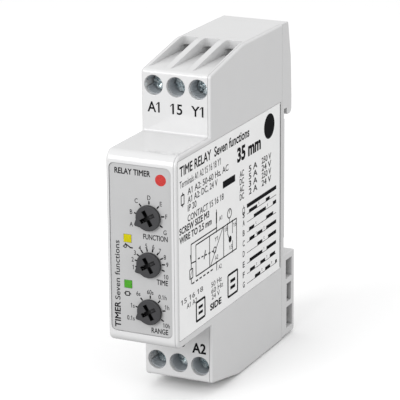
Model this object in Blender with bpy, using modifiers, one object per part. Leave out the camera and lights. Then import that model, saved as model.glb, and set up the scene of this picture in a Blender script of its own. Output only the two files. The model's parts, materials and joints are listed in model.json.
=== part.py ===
"""DIN rail timer: a time relay one module (17.5 mm) wide that snaps onto a 35 mm rail.

The case is an open-sided shell closed by a side cover. Screw terminals sit in two insulating
carriers behind the upper and lower shoulders, three setting knobs and two signal windows face
forward on the nose, and a circuit board with the output relay stands along the left wall.

Sizes and places below are millimetres, measured from the left side (x), back from the front of
the nose (y) and up from the underside (z). `at` turns them into metres in the part's own frame:
+X right, +Y back towards the rail, +Z up, origin on the rail seat at the rail's centre line.
"""

import math

import bmesh
import bpy
from mathutils import Matrix, Vector

MM = 0.001

# Case
WIDTH = 17.5
HEIGHT = 81.0
NOSE_BOTTOM, NOSE_TOP = 17.6, 63.0
SHOULDER_Y = 18.1
SHOULDER_BOTTOM, SHOULDER_TOP = 3.1, 77.5
SHOULDER_ROUND = 0.8
SLOPE_END_TOP, SLOPE_END_BOTTOM = 36.3, 33.6
SLOPE_ROUND = 8.0
CASE_BACK_Y = 59.4
EDGE_ROUND = 0.55
NOSE_ROUND_TOP, NOSE_ROUND_BOTTOM = 2.5, 2.0
WALL = 0.9
NOSE_WALL = 1.6
NOSE_CEILING_WALL = 1.2
COVER_INSIDE_X = 16.9
SEAM = 0.08
CEILING, FLOOR = 76.6, 4.4
REAR_CEILING, REAR_FLOOR = 79.8, 1.2
REAR_ROOM_Y = 41.1
REAR_WALL_Y = 58.3
BEYOND = 1.0  # how far a cutter reaches past the surface it opens
TONGUE_X = 14.4
NOSE_TONGUE_Y, REAR_TONGUE_Y = (7.0, 11.0), (46.0, 51.0)
TONGUE_THICKNESS, TONGUE_GAP = 0.7, 0.15

# Rail side: a 35 mm x 1 mm rail hangs on the upper hook and is held by the lower clip
RAIL_SEAT_Y = 61.0
RAIL_CENTRE_Z = 41.7
STRIP_INSET = 0.2
HOOK_BOTTOM, HOOK_NOTCH_TOP, HOOK_LIP_Y = 57.7, 59.4, 62.5
HOOK_TAPER = ((65.2, 62.0), (64.7, 72.0), (63.0, 80.9))
FOOT_BOTTOM, FOOT_TOP, FOOT_REAR_Y = 0.4, 21.8, 67.2
SEAT_BOTTOM, SEAT_TOP = 26.5, 57.0
SEAT_RELIEF = 0.3
POCKET_DEPTH = 3.3
POCKETS = (((62.5, 66.1), (2.1, 7.6)), ((62.6, 65.4), (9.0, 13.8)), ((62.0, 65.7), (15.3, 20.2)))
TOOL_NOTCH_HALF_WIDTH, TOOL_NOTCH_TOP = 3.0, 5.5
CLIP_Y = (62.2, 64.0)
CLIP_HALF_WIDTH = 3.9
CLIP_BOTTOM, CLIP_TOP = 0.9, 25.7
CLIP_NOSE = 1.6
CLIP_GAP = 0.2
CLIP_SLOT_HALF_WIDTH, CLIP_SLOT_Z = 2.0, (2.2, 3.8)
LEDGE_Z = (8.0, 9.2)
LEDGE_HALF_WIDTH = 1.6
SPRING_TOP = 18.0
SPRING_RADIUS = 0.7
SPRING_WIRE = 0.35
SPRING_TURNS = 7

# Terminals
TERMINAL_X = (3.13, 8.75, 14.37)
TERMINAL_TOP_Z = 74.0
TERMINAL_BOTTOM_Z = 7.0
TERMINAL_NAMES = {"upper": ("a1", "15", "y1"), "lower": ("16", "18", "a2")}
ACCESS_RADIUS = 2.35
HEAD_RADIUS = 2.1
HEAD_Y = (22.1, 24.1)
HEAD_BREAK = 0.25
SLOT_HALF_WIDTH, SLOT_DEPTH, CROSS_HALF_LENGTH = 0.35, 0.9, 1.3
SHANK_RADIUS = 1.45
SHANK_END_Y = 34.0
CAGE_Y = (31.1, 40.7)
CAGE_HALF_WIDTH = 2.0
CAGE_HALF_HEIGHT = 2.4
CAGE_FRONT_WALL = 1.6
CAGE_WALL = 0.4
CAGE_BACK_WALL = 1.2
BUS_Y = (34.5, 35.5)
BUS_HALF_WIDTH = 1.3
BUS_TIP = 2.3
BUS_LEG = 1.6
BUS_ENDS = (65.7, 62.2, 58.6)
WIRE_HALF_WIDTH, WIRE_Y, WIRE_ROUND = 2.1, (36.2, 39.9), 0.9
WIRE_HOLE_Z = (75.0, 78.9)
SCOOP_HALF_WIDTH = 2.0
SCOOP_BACK_Y, SCOOP_ROUND = 38.9, 0.8
SCOOP_FLOOR = 77.8
CARRIER_Y = (19.3, 40.9)
CARRIER_Z = (67.0, 76.5)
CARRIER_GAP = 0.1
BAY_Y, BAY_Z = 26.0, (70.8, 78.0)
BAY_GAP = 0.2

# Nose front
LABEL_X, LABEL_Z = (0.8, 16.1), (20.4, 60.2)
LABEL_Y = (0.2, 0.45)
LABEL_CORNER = 1.2
LABEL_GAP = 0.1
SIDE_LABEL_Y, SIDE_LABEL_Z = (1.1, 57.9), (19.5, 61.8)
SIDE_LABEL_X = (17.38, 17.5)
SIDE_RECESS_BACK_Y = 58.2
KNOB_X = 10.65
KNOB_Z = {"function": 48.4, "time": 37.3, "range": 26.1}
KNOB_RADIUS = 3.05
KNOB_POINTER = 3.7
KNOB_REST_DEG = 210
KNOB_Y = (-0.9, 0.1)
KNOB_SHAFT_RADIUS = 1.95
KNOB_SHAFT_LENGTH = 6.0
KNOB_RECESS_HALF_LENGTH, KNOB_RECESS_HALF_WIDTH, KNOB_RECESS_DEPTH = 1.9, 0.5, 0.75
TRIMMER_X, TRIMMER_Y, TRIMMER_HALF_HEIGHT = (6.2, 14.6), (2.2, 8.6), 4.4
TRIMMER_LEGS_Y = (3.6, 5.4, 7.2)
WINDOW_X = 5.1
WINDOW_Z = {"yellow": 42.8, "green": 31.9}
WINDOW_HALF = (1.05, 1.0)
WINDOW_Y = (0.05, 5.2)
COLLAR_Y, COLLAR_RIM = (1.7, 2.4), 0.35
LAMP_X_END, LAMP_Y, LAMP_HALF_HEIGHT = 6.3, (5.9, 7.6), 1.2
LAMP_LENS_Y, LAMP_LENS_RADIUS = 5.3, 0.8

# Board; its parts stand 0.1 mm off its face
BOARD_X = (2.4, 3.9)
BOARD_FACE = 4.0
BOARD_FRONT_Y, BOARD_SHOULDER_Y, BOARD_WAIST_Y, BOARD_BACK_Y = 3.2, 20.1, 41.9, 57.6
BOARD_NOSE_Z, BOARD_MIDDLE_Z, BOARD_REAR_Z = (20.6, 60.4), (15.6, 65.4), (2.4, 78.6)

# Output relay, standing on the board with its coil along z
RELAY_COIL_X, RELAY_COIL_Y = 9.6, 49.65
RELAY_HALF_DEPTH = 5.55
RELAY_Z = (25.8, 54.2)
RELAY_COVER_X = (4.5, 16.4)
RELAY_COVER_WALL = 0.5
RELAY_BASE_X, RELAY_BASE_GAP = (4.05, 5.5), 0.6
FORMER_Z, FORMER_HEIGHT = 30.2, 14.6
FORMER_BORE, FORMER_TUBE, FORMER_RIM, FORMER_FLANGE = 1.6, 2.2, 3.8, 0.8
WINDING_RADII, WINDING_GAP = (2.3, 3.5), 0.1
YOKE_HALF_WIDTH, YOKE_Z, YOKE_LEG_TOP = 3.0, (28.8, 30.0), 46.4
YOKE_FRONT, YOKE_BACK, YOKE_THICKNESS = 3.05, 4.75, 0.8
CORE_RADIUS, CORE_TOP = 1.45, 46.2
ARMATURE_HALF_WIDTH, ARMATURE_FRONT, ARMATURE_Z = 2.8, 2.45, (46.6, 47.5)
ARMATURE_PIVOT = 4.35
CONTACT_FRONT, CONTACT_BACK = 4.75, 3.25
CONTACT_BUTTON, CONTACT_RADIUS = 3.75, 0.7
BLADE_HALF_WIDTH, BLADE_Z, BLADE_BUTTON_Z = 1.0, (47.6, 47.9), (47.2, 48.3)
FIXED_CONTACT_X, FIXED_CONTACT_DEPTH = 5.6, 1.9
OPEN_CONTACT_Z, OPEN_CONTACT_FACE = (45.2, 45.8), 46.55
CLOSED_CONTACT_Z, CLOSED_CONTACT_FACE = (49.5, 50.1), 48.45

# Other parts on the board
FILM_CAPACITOR = {"x_end": 13.5, "y": (44.0, 56.0), "z": (56.5, 64.5), "round": 0.5}
FILTER_CAPACITOR = {"y": 49.6, "z": 71.5, "radius": 4.0, "height": 11.8, "rim": 0.3, "bead": (1.2, 1.8)}
CHOKE = {"y": 49.3, "z": 12.0, "radius": 3.6, "waist": 2.4, "height": 8.0, "flange": 1.0, "taper": 0.4}
VARISTOR = {"y": 24.3, "z": 56.0, "radius": 3.6, "thickness": 3.0, "centre": 4.2, "round": 0.6}
VARISTOR_LEADS = {"length": 1.5, "y": (25.4, 26.0), "z": (53.6, 58.4)}
CHIP = {"height": 1.6, "y": (26.0, 30.0), "z": (34.0, 43.0), "round": 0.25}
BRIDGE = {"height": 2.6, "y": (33.0, 39.0), "z": (24.0, 29.0), "round": 0.3}
RESISTOR = {"y": 38.0, "z": 47.0, "lift": 1.9, "length": 10.0, "waist": 1.5, "bulge": 1.7, "cap": 2.0}

CASE_GREY = (0.80, 0.80, 0.79)
DARK_GREY = (0.09, 0.09, 0.095)
STEEL = (0.62, 0.64, 0.67)
BRASS = (0.78, 0.62, 0.32)
BLACK = (0.02, 0.02, 0.022)


def at(x, y, z):
    """The point x, y, z millimetres from the case's left side, front and underside."""
    return Vector((x - WIDTH / 2, y - RAIL_SEAT_Y, z - RAIL_CENTRE_Z)) * MM


def clear_scene():
    for piece in list(bpy.data.objects):
        bpy.data.objects.remove(piece, do_unlink=True)


def collection(name):
    group = bpy.data.collections.new(name)
    bpy.context.scene.collection.children.link(group)
    return group


def material(name, colour, roughness, metallic=0.0):
    finish = bpy.data.materials.new(name)
    finish.use_nodes = True
    shader = finish.node_tree.nodes["Principled BSDF"]
    shader.inputs["Base Color"].default_value = (*colour, 1.0)
    shader.inputs["Roughness"].default_value = roughness
    shader.inputs["Metallic"].default_value = metallic
    finish.diffuse_color = (*colour, 1.0)
    return finish


clear_scene()
PARTS = collection("din_rail_timer")
CUTTERS = collection("cutters")


# Shapes: each returns an object that is not yet part of the timer

def wrap(name, bm, origin):
    mesh = bpy.data.meshes.new(name)
    bm.to_mesh(mesh)
    bm.free()
    shape = bpy.data.objects.new(name, mesh)
    shape.location = origin
    return shape


def block(name, x, y, z, origin=None):
    """A box between the pairs x, y and z."""
    low, high = at(x[0], y[0], z[0]), at(x[1], y[1], z[1])
    centre = (low + high) / 2
    origin = centre if origin is None else origin
    bm = bmesh.new()
    size = Matrix.Diagonal((*(high - low), 1.0))
    bmesh.ops.create_cube(bm, size=1.0, matrix=Matrix.Translation(centre - origin) @ size)
    return wrap(name, bm, origin)


AXES = {"x": Vector((1, 0, 0)), "y": Vector((0, 1, 0)), "z": Vector((0, 0, 1))}


def rod(name, axis, start, length, radius, segments=20, origin=None):
    """A cylinder along an axis, from a start point in millimetres."""
    base = at(*start)
    origin = base if origin is None else origin
    direction = AXES[axis]
    turn = direction.to_track_quat("Z", "Y").to_matrix().to_4x4()
    middle = base + direction * (length * MM / 2)
    bm = bmesh.new()
    bmesh.ops.create_cone(
        bm,
        cap_ends=True,
        segments=segments,
        radius1=radius * MM,
        radius2=radius * MM,
        depth=length * MM,
        matrix=Matrix.Translation(middle - origin) @ turn,
    )
    return wrap(name, bm, origin)


def rounded(corners):
    """Outline points from (u, v, radius) corners, each radius turned into an arc."""
    points = []
    for i, (u, v, radius) in enumerate(corners):
        here = Vector((u, v))
        if not radius:
            points.append(here)
            continue
        before = (here - Vector(corners[i - 1][:2])).normalized()
        after = (Vector(corners[(i + 1) % len(corners)][:2]) - here).normalized()
        turn = before.angle_signed(after)
        reach = radius * math.tan(abs(turn) / 2)
        steps = max(2, math.ceil(abs(turn) / math.radians(24)))
        side = Vector((before.y, -before.x)) * math.copysign(radius, turn)
        centre = here - before * reach + side
        for k in range(steps + 1):
            angle = -turn * k / steps
            spoke = -side
            points.append(centre + Matrix.Rotation(angle, 2) @ spoke)
    return points


# How an outline's own u, v and thickness directions lie in the part, as matrix columns
PLANES = {
    "yz": Matrix(((0, 0, 1), (1, 0, 0), (0, 1, 0))),
    "xz": Matrix(((1, 0, 0), (0, 0, -1), (0, 1, 0))),
    "xy": Matrix(((1, 0, 0), (0, 1, 0), (0, 0, 1))),
}


def slab(name, plane, outline, low, high, origin=None):
    """A flat outline in one plane, thickened between low and high on the third axis."""
    curve = bpy.data.curves.new(name, "CURVE")
    curve.dimensions = "2D"
    curve.fill_mode = "BOTH"
    curve.extrude = (high - low) / 2 * MM
    spline = curve.splines.new("POLY")
    spline.points.add(len(outline) - 1)
    for point, (u, v) in zip(spline.points, outline):
        point.co = (u * MM, v * MM, 0, 1)
    spline.use_cyclic_u = True
    flat = bpy.data.objects.new(name + "_outline", curve)
    bpy.context.scene.collection.objects.link(flat)
    middle = (low + high) / 2
    zero = {"yz": at(middle, 0, 0), "xz": at(0, middle, 0), "xy": at(0, 0, middle)}[plane]
    turn = PLANES[plane].to_4x4()
    bpy.context.view_layer.update()
    graph = bpy.context.evaluated_depsgraph_get()
    mesh = bpy.data.meshes.new_from_object(flat.evaluated_get(graph))
    bpy.data.objects.remove(flat, do_unlink=True)
    origin = zero if origin is None else origin
    bm = bmesh.new()
    bm.from_mesh(mesh)
    bpy.data.meshes.remove(mesh)
    bmesh.ops.remove_doubles(bm, verts=bm.verts, dist=1e-6)
    bmesh.ops.dissolve_limit(bm, angle_limit=math.radians(1), verts=bm.verts, edges=bm.edges)
    bmesh.ops.transform(bm, matrix=Matrix.Translation(zero - origin) @ turn, verts=bm.verts)
    bmesh.ops.recalc_face_normals(bm, faces=bm.faces)
    return wrap(name, bm, origin)


def turned(name, profile, centre, axis="z", steps=24):
    """A closed (radius, height) profile swept round an axis with the Screw modifier."""
    bm = bmesh.new()
    ring = [bm.verts.new((r * MM, 0, h * MM)) for r, h in profile]
    for a, b in zip(ring, ring[1:] + ring[:1]):
        bm.edges.new((a, b))
    shape = wrap(name, bm, at(*centre))
    if axis != "z":
        shape.rotation_euler = AXES[axis].to_track_quat("Z", "Y").to_euler()
    sweep = shape.modifiers.new("turn", "SCREW")
    sweep.steps = sweep.render_steps = steps
    sweep.use_merge_vertices = True
    sweep.merge_threshold = 1e-6
    return shape


def combine(piece, shape, operation):
    CUTTERS.objects.link(shape)
    shape.hide_render = True
    shape.display_type = "WIRE"
    step = piece.modifiers.new(shape.name, "BOOLEAN")
    step.operation = operation
    step.solver = "EXACT"
    step.object = shape


def cut(piece, *shapes):
    for shape in shapes:
        combine(piece, shape, "DIFFERENCE")


def add(piece, *shapes):
    for shape in shapes:
        combine(piece, shape, "UNION")


def soften(piece, width, segments=1, angle=35):
    """Breaks the piece's sharp edges."""
    bevel = piece.modifiers.new("soften", "BEVEL")
    bevel.width = width * MM
    bevel.segments = segments
    bevel.limit_method = "ANGLE"
    bevel.angle_limit = math.radians(angle)


def finish(piece, look, smooth=False):
    """Puts a piece in the timer's collection with its material."""
    PARTS.objects.link(piece)
    if piece.data.materials:
        piece.data.materials.clear()
    piece.data.materials.append(look)
    if smooth:
        piece.data.shade_smooth()
        piece.data.set_sharp_from_angle(angle=math.radians(40))
    return piece


def terminal_z(upper):
    return TERMINAL_TOP_Z if upper else TERMINAL_BOTTOM_Z


def terminal_heights(upper, low, high):
    """Heights given for the upper terminals, mirrored when they are for the lower ones."""
    if upper:
        return low, high
    middle = TERMINAL_TOP_Z + TERMINAL_BOTTOM_Z
    return middle - high, middle - low


def span(a, b):
    return min(a, b), max(a, b)


# Case

def case_outline():
    return rounded(
        [
            (0, NOSE_BOTTOM, NOSE_ROUND_BOTTOM),
            (0, NOSE_TOP, NOSE_ROUND_TOP),
            (SHOULDER_Y, NOSE_TOP, 0),
            (SHOULDER_Y, SHOULDER_TOP, SHOULDER_ROUND),
            (SLOPE_END_TOP, HEIGHT, SLOPE_ROUND),
            (CASE_BACK_Y, HEIGHT, 0),
            (CASE_BACK_Y, 0, 0),
            (SLOPE_END_BOTTOM, 0, SLOPE_ROUND),
            (SHOULDER_Y, SHOULDER_BOTTOM, SHOULDER_ROUND),
            (SHOULDER_Y, NOSE_BOTTOM, 0),
        ]
    )


def case_form(name):
    """The whole rounded case as one solid, from which shell and cover are both cut."""
    form = slab(name, "yz", case_outline(), 0, WIDTH)
    soften(form, EDGE_ROUND, segments=2)
    return form


def rear_form():
    """Rear strip with the rail hook above and the clip's foot below."""
    inside_case = CASE_BACK_Y - 2
    relief_y = RAIL_SEAT_Y - SEAT_RELIEF
    corners = [
        (inside_case, FOOT_BOTTOM, 0),
        (FOOT_REAR_Y, FOOT_BOTTOM, 0.4),
        (FOOT_REAR_Y, FOOT_TOP, 0.4),
        (relief_y, FOOT_TOP, 0),
        (relief_y, SEAT_BOTTOM, 0),
        (RAIL_SEAT_Y, SEAT_BOTTOM, 0),
        (RAIL_SEAT_Y, SEAT_TOP, 0),
        (relief_y, SEAT_TOP, 0),
        (relief_y, HOOK_NOTCH_TOP, 0),
        (HOOK_LIP_Y, HOOK_NOTCH_TOP, 0),
        (HOOK_LIP_Y, HOOK_BOTTOM, 0.4),
        (HOOK_TAPER[0][0], HOOK_BOTTOM, 1.2),
        *((y, z, 0) for y, z in HOOK_TAPER),
        (inside_case, HOOK_TAPER[-1][1], 0),
    ]
    strip = slab("rear_form", "yz", rounded(corners), STRIP_INSET, WIDTH - STRIP_INSET)
    beside_cover = (COVER_INSIDE_X - SEAM, WIDTH + BEYOND)
    cover_edge = (0, CASE_BACK_Y + SEAM)
    cut(strip, block("cover_edge", beside_cover, cover_edge, (-BEYOND, HEIGHT + BEYOND)))
    return strip


def case_room():
    """The hollow inside the shell."""
    nose_floor, nose_ceiling = NOSE_BOTTOM + NOSE_CEILING_WALL, NOSE_TOP - NOSE_CEILING_WALL
    step_y = SHOULDER_Y + 1
    corners = [
        (NOSE_WALL, nose_floor, 1.0),
        (NOSE_WALL, nose_ceiling, 1.0),
        (step_y, nose_ceiling, 0),
        (step_y, CEILING, 0),
        (REAR_ROOM_Y, CEILING, 0),
        (REAR_ROOM_Y, REAR_CEILING, 0),
        (REAR_WALL_Y, REAR_CEILING, 0),
        (REAR_WALL_Y, REAR_FLOOR, 0),
        (REAR_ROOM_Y, REAR_FLOOR, 0),
        (REAR_ROOM_Y, FLOOR, 0),
        (step_y, FLOOR, 0),
        (step_y, nose_floor, 0),
    ]
    return slab("case_room", "yz", rounded(corners), WALL, WIDTH + BEYOND)


def scoop(x, upper):
    """The open trough that leads a wire over a shoulder to its hole."""
    left, right = x - SCOOP_HALF_WIDTH, x + SCOOP_HALF_WIDTH
    front = SHOULDER_Y - BEYOND
    corners = [
        (left, front, 0),
        (right, front, 0),
        (right, SCOOP_BACK_Y, SCOOP_ROUND),
        (left, SCOOP_BACK_Y, SCOOP_ROUND),
    ]
    low, high = terminal_heights(upper, SCOOP_FLOOR, HEIGHT + BEYOND)
    return slab("scoop", "xy", rounded(corners), low, high)


def terminal_openings(x, upper):
    """The screwdriver hole, wire trough and wire hole of one terminal."""
    access = rod("access", "y", (x, SHOULDER_Y - BEYOND, terminal_z(upper)), 3, ACCESS_RADIUS, 32)
    low, high = terminal_heights(upper, *WIRE_HOLE_Z)
    outline = panel((x - WIRE_HALF_WIDTH, x + WIRE_HALF_WIDTH), WIRE_Y, WIRE_ROUND)
    wire = slab("wire_hole", "xy", outline, low, high)
    return access, scoop(x, upper), wire


def clip_channel():
    """The slot in which the rail clip slides."""
    reach = CLIP_HALF_WIDTH + CLIP_GAP
    middle = WIDTH / 2
    y = (CLIP_Y[0] - CLIP_GAP, CLIP_Y[1] + CLIP_GAP)
    return block("clip_channel", (middle - reach, middle + reach), y, (-BEYOND, FOOT_TOP + BEYOND))


def foot_pockets():
    """Blind pockets that lighten both sides of the foot."""
    for y, z in POCKETS:
        yield block("foot_pocket", (WIDTH - POCKET_DEPTH, WIDTH + BEYOND), y, z)
        yield block("foot_pocket", (-BEYOND, POCKET_DEPTH), y, z)


def tool_notch():
    """The gap in the foot's back through which a screwdriver reaches the clip's slot."""
    middle = WIDTH / 2
    sides = (middle - TOOL_NOTCH_HALF_WIDTH, middle + TOOL_NOTCH_HALF_WIDTH)
    return block("tool_notch", sides, (CLIP_Y[1], FOOT_REAR_Y + BEYOND), (-BEYOND, TOOL_NOTCH_TOP))


def label_recess():
    x = (LABEL_X[0] - LABEL_GAP, LABEL_X[1] + LABEL_GAP)
    z = (LABEL_Z[0] - LABEL_GAP, LABEL_Z[1] + LABEL_GAP)
    outline = panel(x, z, LABEL_CORNER + LABEL_GAP)
    return slab("label_recess", "xz", outline, -BEYOND, LABEL_Y[1] + LABEL_GAP)


def panel(u, v, radius):
    """A rectangle with rounded corners."""
    low, high = u
    bottom, top = v
    corners = [(low, bottom), (low, top), (high, top), (high, bottom)]
    return rounded([(a, b, radius) for a, b in corners])


def nose_holes(y, shaft_gap, window_gap):
    """Cutters for the knob shafts and signal windows through a front layer."""
    for z in KNOB_Z.values():
        length = y[1] - y[0]
        yield rod("shaft_hole", "y", (KNOB_X, y[0], z), length, KNOB_SHAFT_RADIUS + shaft_gap, 24)
    for z in WINDOW_Z.values():
        across, up = WINDOW_HALF[0] + window_gap, WINDOW_HALF[1] + window_gap
        x = (WINDOW_X - across, WINDOW_X + across)
        yield block("window_hole", x, y, (z - up, z + up))


def whole_case(name, left, right):
    """A cutter over the whole side view between two places across the width."""
    return block(name, (left, right), (-BEYOND, FOOT_REAR_Y + BEYOND), (-BEYOND, HEIGHT + BEYOND))


def housing_shell(look):
    shell = case_form("housing_shell")
    cut(shell, whole_case("cover_side", COVER_INSIDE_X - SEAM, WIDTH + BEYOND))
    add(shell, rear_form())
    cut(shell, case_room(), label_recess())
    cut(shell, *nose_holes((-BEYOND, NOSE_WALL + BEYOND), 0.35, 0.15))
    for upper in (True, False):
        for x in TERMINAL_X:
            cut(shell, *terminal_openings(x, upper))
    cut(shell, clip_channel(), *foot_pockets(), tool_notch())
    rest_x = (WIDTH / 2 - LEDGE_HALF_WIDTH, WIDTH / 2 + LEDGE_HALF_WIDTH)
    add(shell, block("spring_ledge", rest_x, (CLIP_Y[0] - 0.5, CLIP_Y[1] + 0.5), LEDGE_Z))
    return finish(shell, look)


def side_cover(look):
    """The right-hand side, with the label's recess outside and snap tongues inside."""
    cover = case_form("side_cover")
    cut(cover, whole_case("shell_side", -BEYOND, COVER_INSIDE_X))
    recess_y = (SIDE_LABEL_Y[0] - LABEL_GAP, SIDE_RECESS_BACK_Y)
    recess_z = (SIDE_LABEL_Z[0] - LABEL_GAP, SIDE_LABEL_Z[1] + LABEL_GAP)
    cut(cover, block("side_recess", (SIDE_LABEL_X[0] - 0.08, WIDTH + BEYOND), recess_y, recess_z))
    for y, wall_z, inward in (
        (NOSE_TONGUE_Y, NOSE_TOP - NOSE_CEILING_WALL, -1),
        (NOSE_TONGUE_Y, NOSE_BOTTOM + NOSE_CEILING_WALL, 1),
        (REAR_TONGUE_Y, REAR_CEILING, -1),
        (REAR_TONGUE_Y, REAR_FLOOR, 1),
    ):
        start = wall_z + inward * TONGUE_GAP
        heights = span(start, start + inward * TONGUE_THICKNESS)
        add(cover, block("snap_tongue", (TONGUE_X, COVER_INSIDE_X + 0.3), y, heights))
    return finish(cover, look)


def front_label(look):
    plate = slab("front_label", "xz", panel(LABEL_X, LABEL_Z, LABEL_CORNER), *LABEL_Y)
    cut(plate, *nose_holes((-BEYOND, NOSE_WALL), 0.35, 0.1))
    return finish(plate, look)


def side_label(look):
    return finish(block("side_label", SIDE_LABEL_X, SIDE_LABEL_Y, SIDE_LABEL_Z), look)


# Rail clip

def rail_clip(look):
    """Sliding plate whose nose holds the rail's lower edge; its window rides over the ledge."""
    middle = WIDTH / 2
    origin = at(middle, sum(CLIP_Y) / 2, CLIP_TOP)
    sides = (middle - CLIP_HALF_WIDTH, middle + CLIP_HALF_WIDTH)
    corners = [
        (CLIP_Y[0], CLIP_BOTTOM, 0),
        (CLIP_Y[0], CLIP_TOP, 0),
        (CLIP_Y[0] + 0.4, CLIP_TOP, 0),
        (CLIP_Y[1], CLIP_TOP - CLIP_NOSE, 0),
        (CLIP_Y[1], CLIP_BOTTOM, 0),
    ]
    clip = slab("rail_clip", "yz", rounded(corners), *sides, origin=origin)
    window = LEDGE_HALF_WIDTH + 2 * CLIP_GAP
    slot = CLIP_SLOT_HALF_WIDTH
    through = (CLIP_Y[0] - BEYOND, CLIP_Y[1] + BEYOND)
    window_z = (LEDGE_Z[0] - CLIP_GAP, SPRING_TOP)
    cut(clip, block("window", (middle - window, middle + window), through, window_z))
    cut(clip, block("tool_slot", (middle - slot, middle + slot), through, CLIP_SLOT_Z))
    return finish(clip, look)


def clip_spring(look):
    """Compression coil between the shell's ledge and the top of the clip's window."""
    curve = bpy.data.curves.new("clip_spring", "CURVE")
    curve.dimensions = "3D"
    curve.bevel_depth = SPRING_WIRE / 2 * MM
    curve.bevel_resolution = 1
    curve.use_fill_caps = True
    bottom = LEDGE_Z[1] + SPRING_WIRE / 2 + 0.1
    top = SPRING_TOP - SPRING_WIRE / 2 - 0.1
    steps = SPRING_TURNS * 10
    spline = curve.splines.new("POLY")
    spline.points.add(steps)
    for k, point in enumerate(spline.points):
        angle = 2 * math.pi * SPRING_TURNS * k / steps
        height = (top - bottom) * k / steps
        across = SPRING_RADIUS * math.cos(angle)
        deep = SPRING_RADIUS * math.sin(angle)
        point.co = (across * MM, deep * MM, height * MM, 1)
    spring = bpy.data.objects.new("clip_spring", curve)
    spring.location = at(WIDTH / 2, sum(CLIP_Y) / 2, bottom)
    PARTS.objects.link(spring)
    curve.materials.append(look)
    return spring


# Terminals

def terminal_screw(name, x, z, look):
    """Captive clamp screw with a combined slot and cross recess."""
    origin = at(x, HEAD_Y[0], z)
    thickness = HEAD_Y[1] - HEAD_Y[0]
    screw = rod(name, "y", (x, HEAD_Y[0], z), thickness, HEAD_RADIUS, 24, origin)
    soften(screw, HEAD_BREAK)
    start = HEAD_Y[1] - HEAD_BREAK
    add(screw, rod("shank", "y", (x, start, z), SHANK_END_Y - start, SHANK_RADIUS, 16))
    recess = (HEAD_Y[0] - BEYOND, HEAD_Y[0] + SLOT_DEPTH)
    for across, up in ((HEAD_RADIUS + BEYOND, SLOT_HALF_WIDTH), (SLOT_HALF_WIDTH, CROSS_HALF_LENGTH)):
        cut(screw, block("recess", (x - across, x + across), recess, (z - up, z + up)))
    return finish(screw, look, smooth=True)


def cage(name, x, z, look):
    """Rising clamp: a box frame that the screw draws forward, pressing the wire on its bar."""
    sides = (x - CAGE_HALF_WIDTH, x + CAGE_HALF_WIDTH)
    heights = (z - CAGE_HALF_HEIGHT, z + CAGE_HALF_HEIGHT)
    frame = block(name, sides, CAGE_Y, heights, origin=at(x, CAGE_Y[0], z))
    soften(frame, 0.25)
    inside_x = (sides[0] + CAGE_WALL, sides[1] - CAGE_WALL)
    inside_y = (CAGE_Y[0] + CAGE_FRONT_WALL, CAGE_Y[1] - CAGE_BACK_WALL)
    cut(frame, block("inside", inside_x, inside_y, (heights[0] - BEYOND, heights[1] + BEYOND)))
    cut(frame, rod("thread", "y", (x, CAGE_Y[0] - BEYOND, z), 3, SHANK_RADIUS + 0.1, 16))
    return finish(frame, look, smooth=True)


def bus_bar(name, x, upper, end_z, look):
    """Contact bar from inside the cage to the board; the far ones turn sideways to reach it."""
    heights = terminal_heights(upper, end_z, TERMINAL_TOP_Z + BUS_TIP)
    sides = (x - BUS_HALF_WIDTH, x + BUS_HALF_WIDTH)
    bar = block(name, sides, BUS_Y, heights)
    if x > BOARD_X[1] + BUS_HALF_WIDTH:
        leg = terminal_heights(upper, end_z, end_z + BUS_LEG)
        add(bar, block("leg", (BOARD_X[1] + 0.15, x), BUS_Y, leg))
    return finish(bar, look)


def terminal_carrier(name, upper, look):
    """Insulating block that keeps three terminals apart and holds the screw heads captive."""
    z = terminal_z(upper)
    heights = terminal_heights(upper, *CARRIER_Z)
    front, back = CARRIER_Y[0] - BEYOND, CARRIER_Y[1] + BEYOND
    head_end, bay_end = HEAD_Y[1] + 0.3, BAY_Y + BEYOND
    bay, slot = CAGE_HALF_WIDTH + BAY_GAP, BUS_HALF_WIDTH + BAY_GAP
    slot_y = (BUS_Y[0] - BAY_GAP, BUS_Y[1] + BAY_GAP)
    through = (heights[0] - BEYOND, heights[1] + BEYOND)
    carrier = block(name, (WALL + CARRIER_GAP, COVER_INSIDE_X - CARRIER_GAP), CARRIER_Y, heights)
    for x in TERMINAL_X:
        cut(
            carrier,
            block("bay", (x - bay, x + bay), (BAY_Y, back), terminal_heights(upper, *BAY_Z)),
            rod("head_room", "y", (x, front, z), head_end - front, HEAD_RADIUS + 0.15, 24),
            rod("shank_room", "y", (x, HEAD_Y[1], z), bay_end - HEAD_Y[1], SHANK_RADIUS + 0.15, 16),
            block("bar_slot", (x - slot, x + slot), slot_y, through),
        )
    return finish(carrier, look)


# Nose controls

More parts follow.
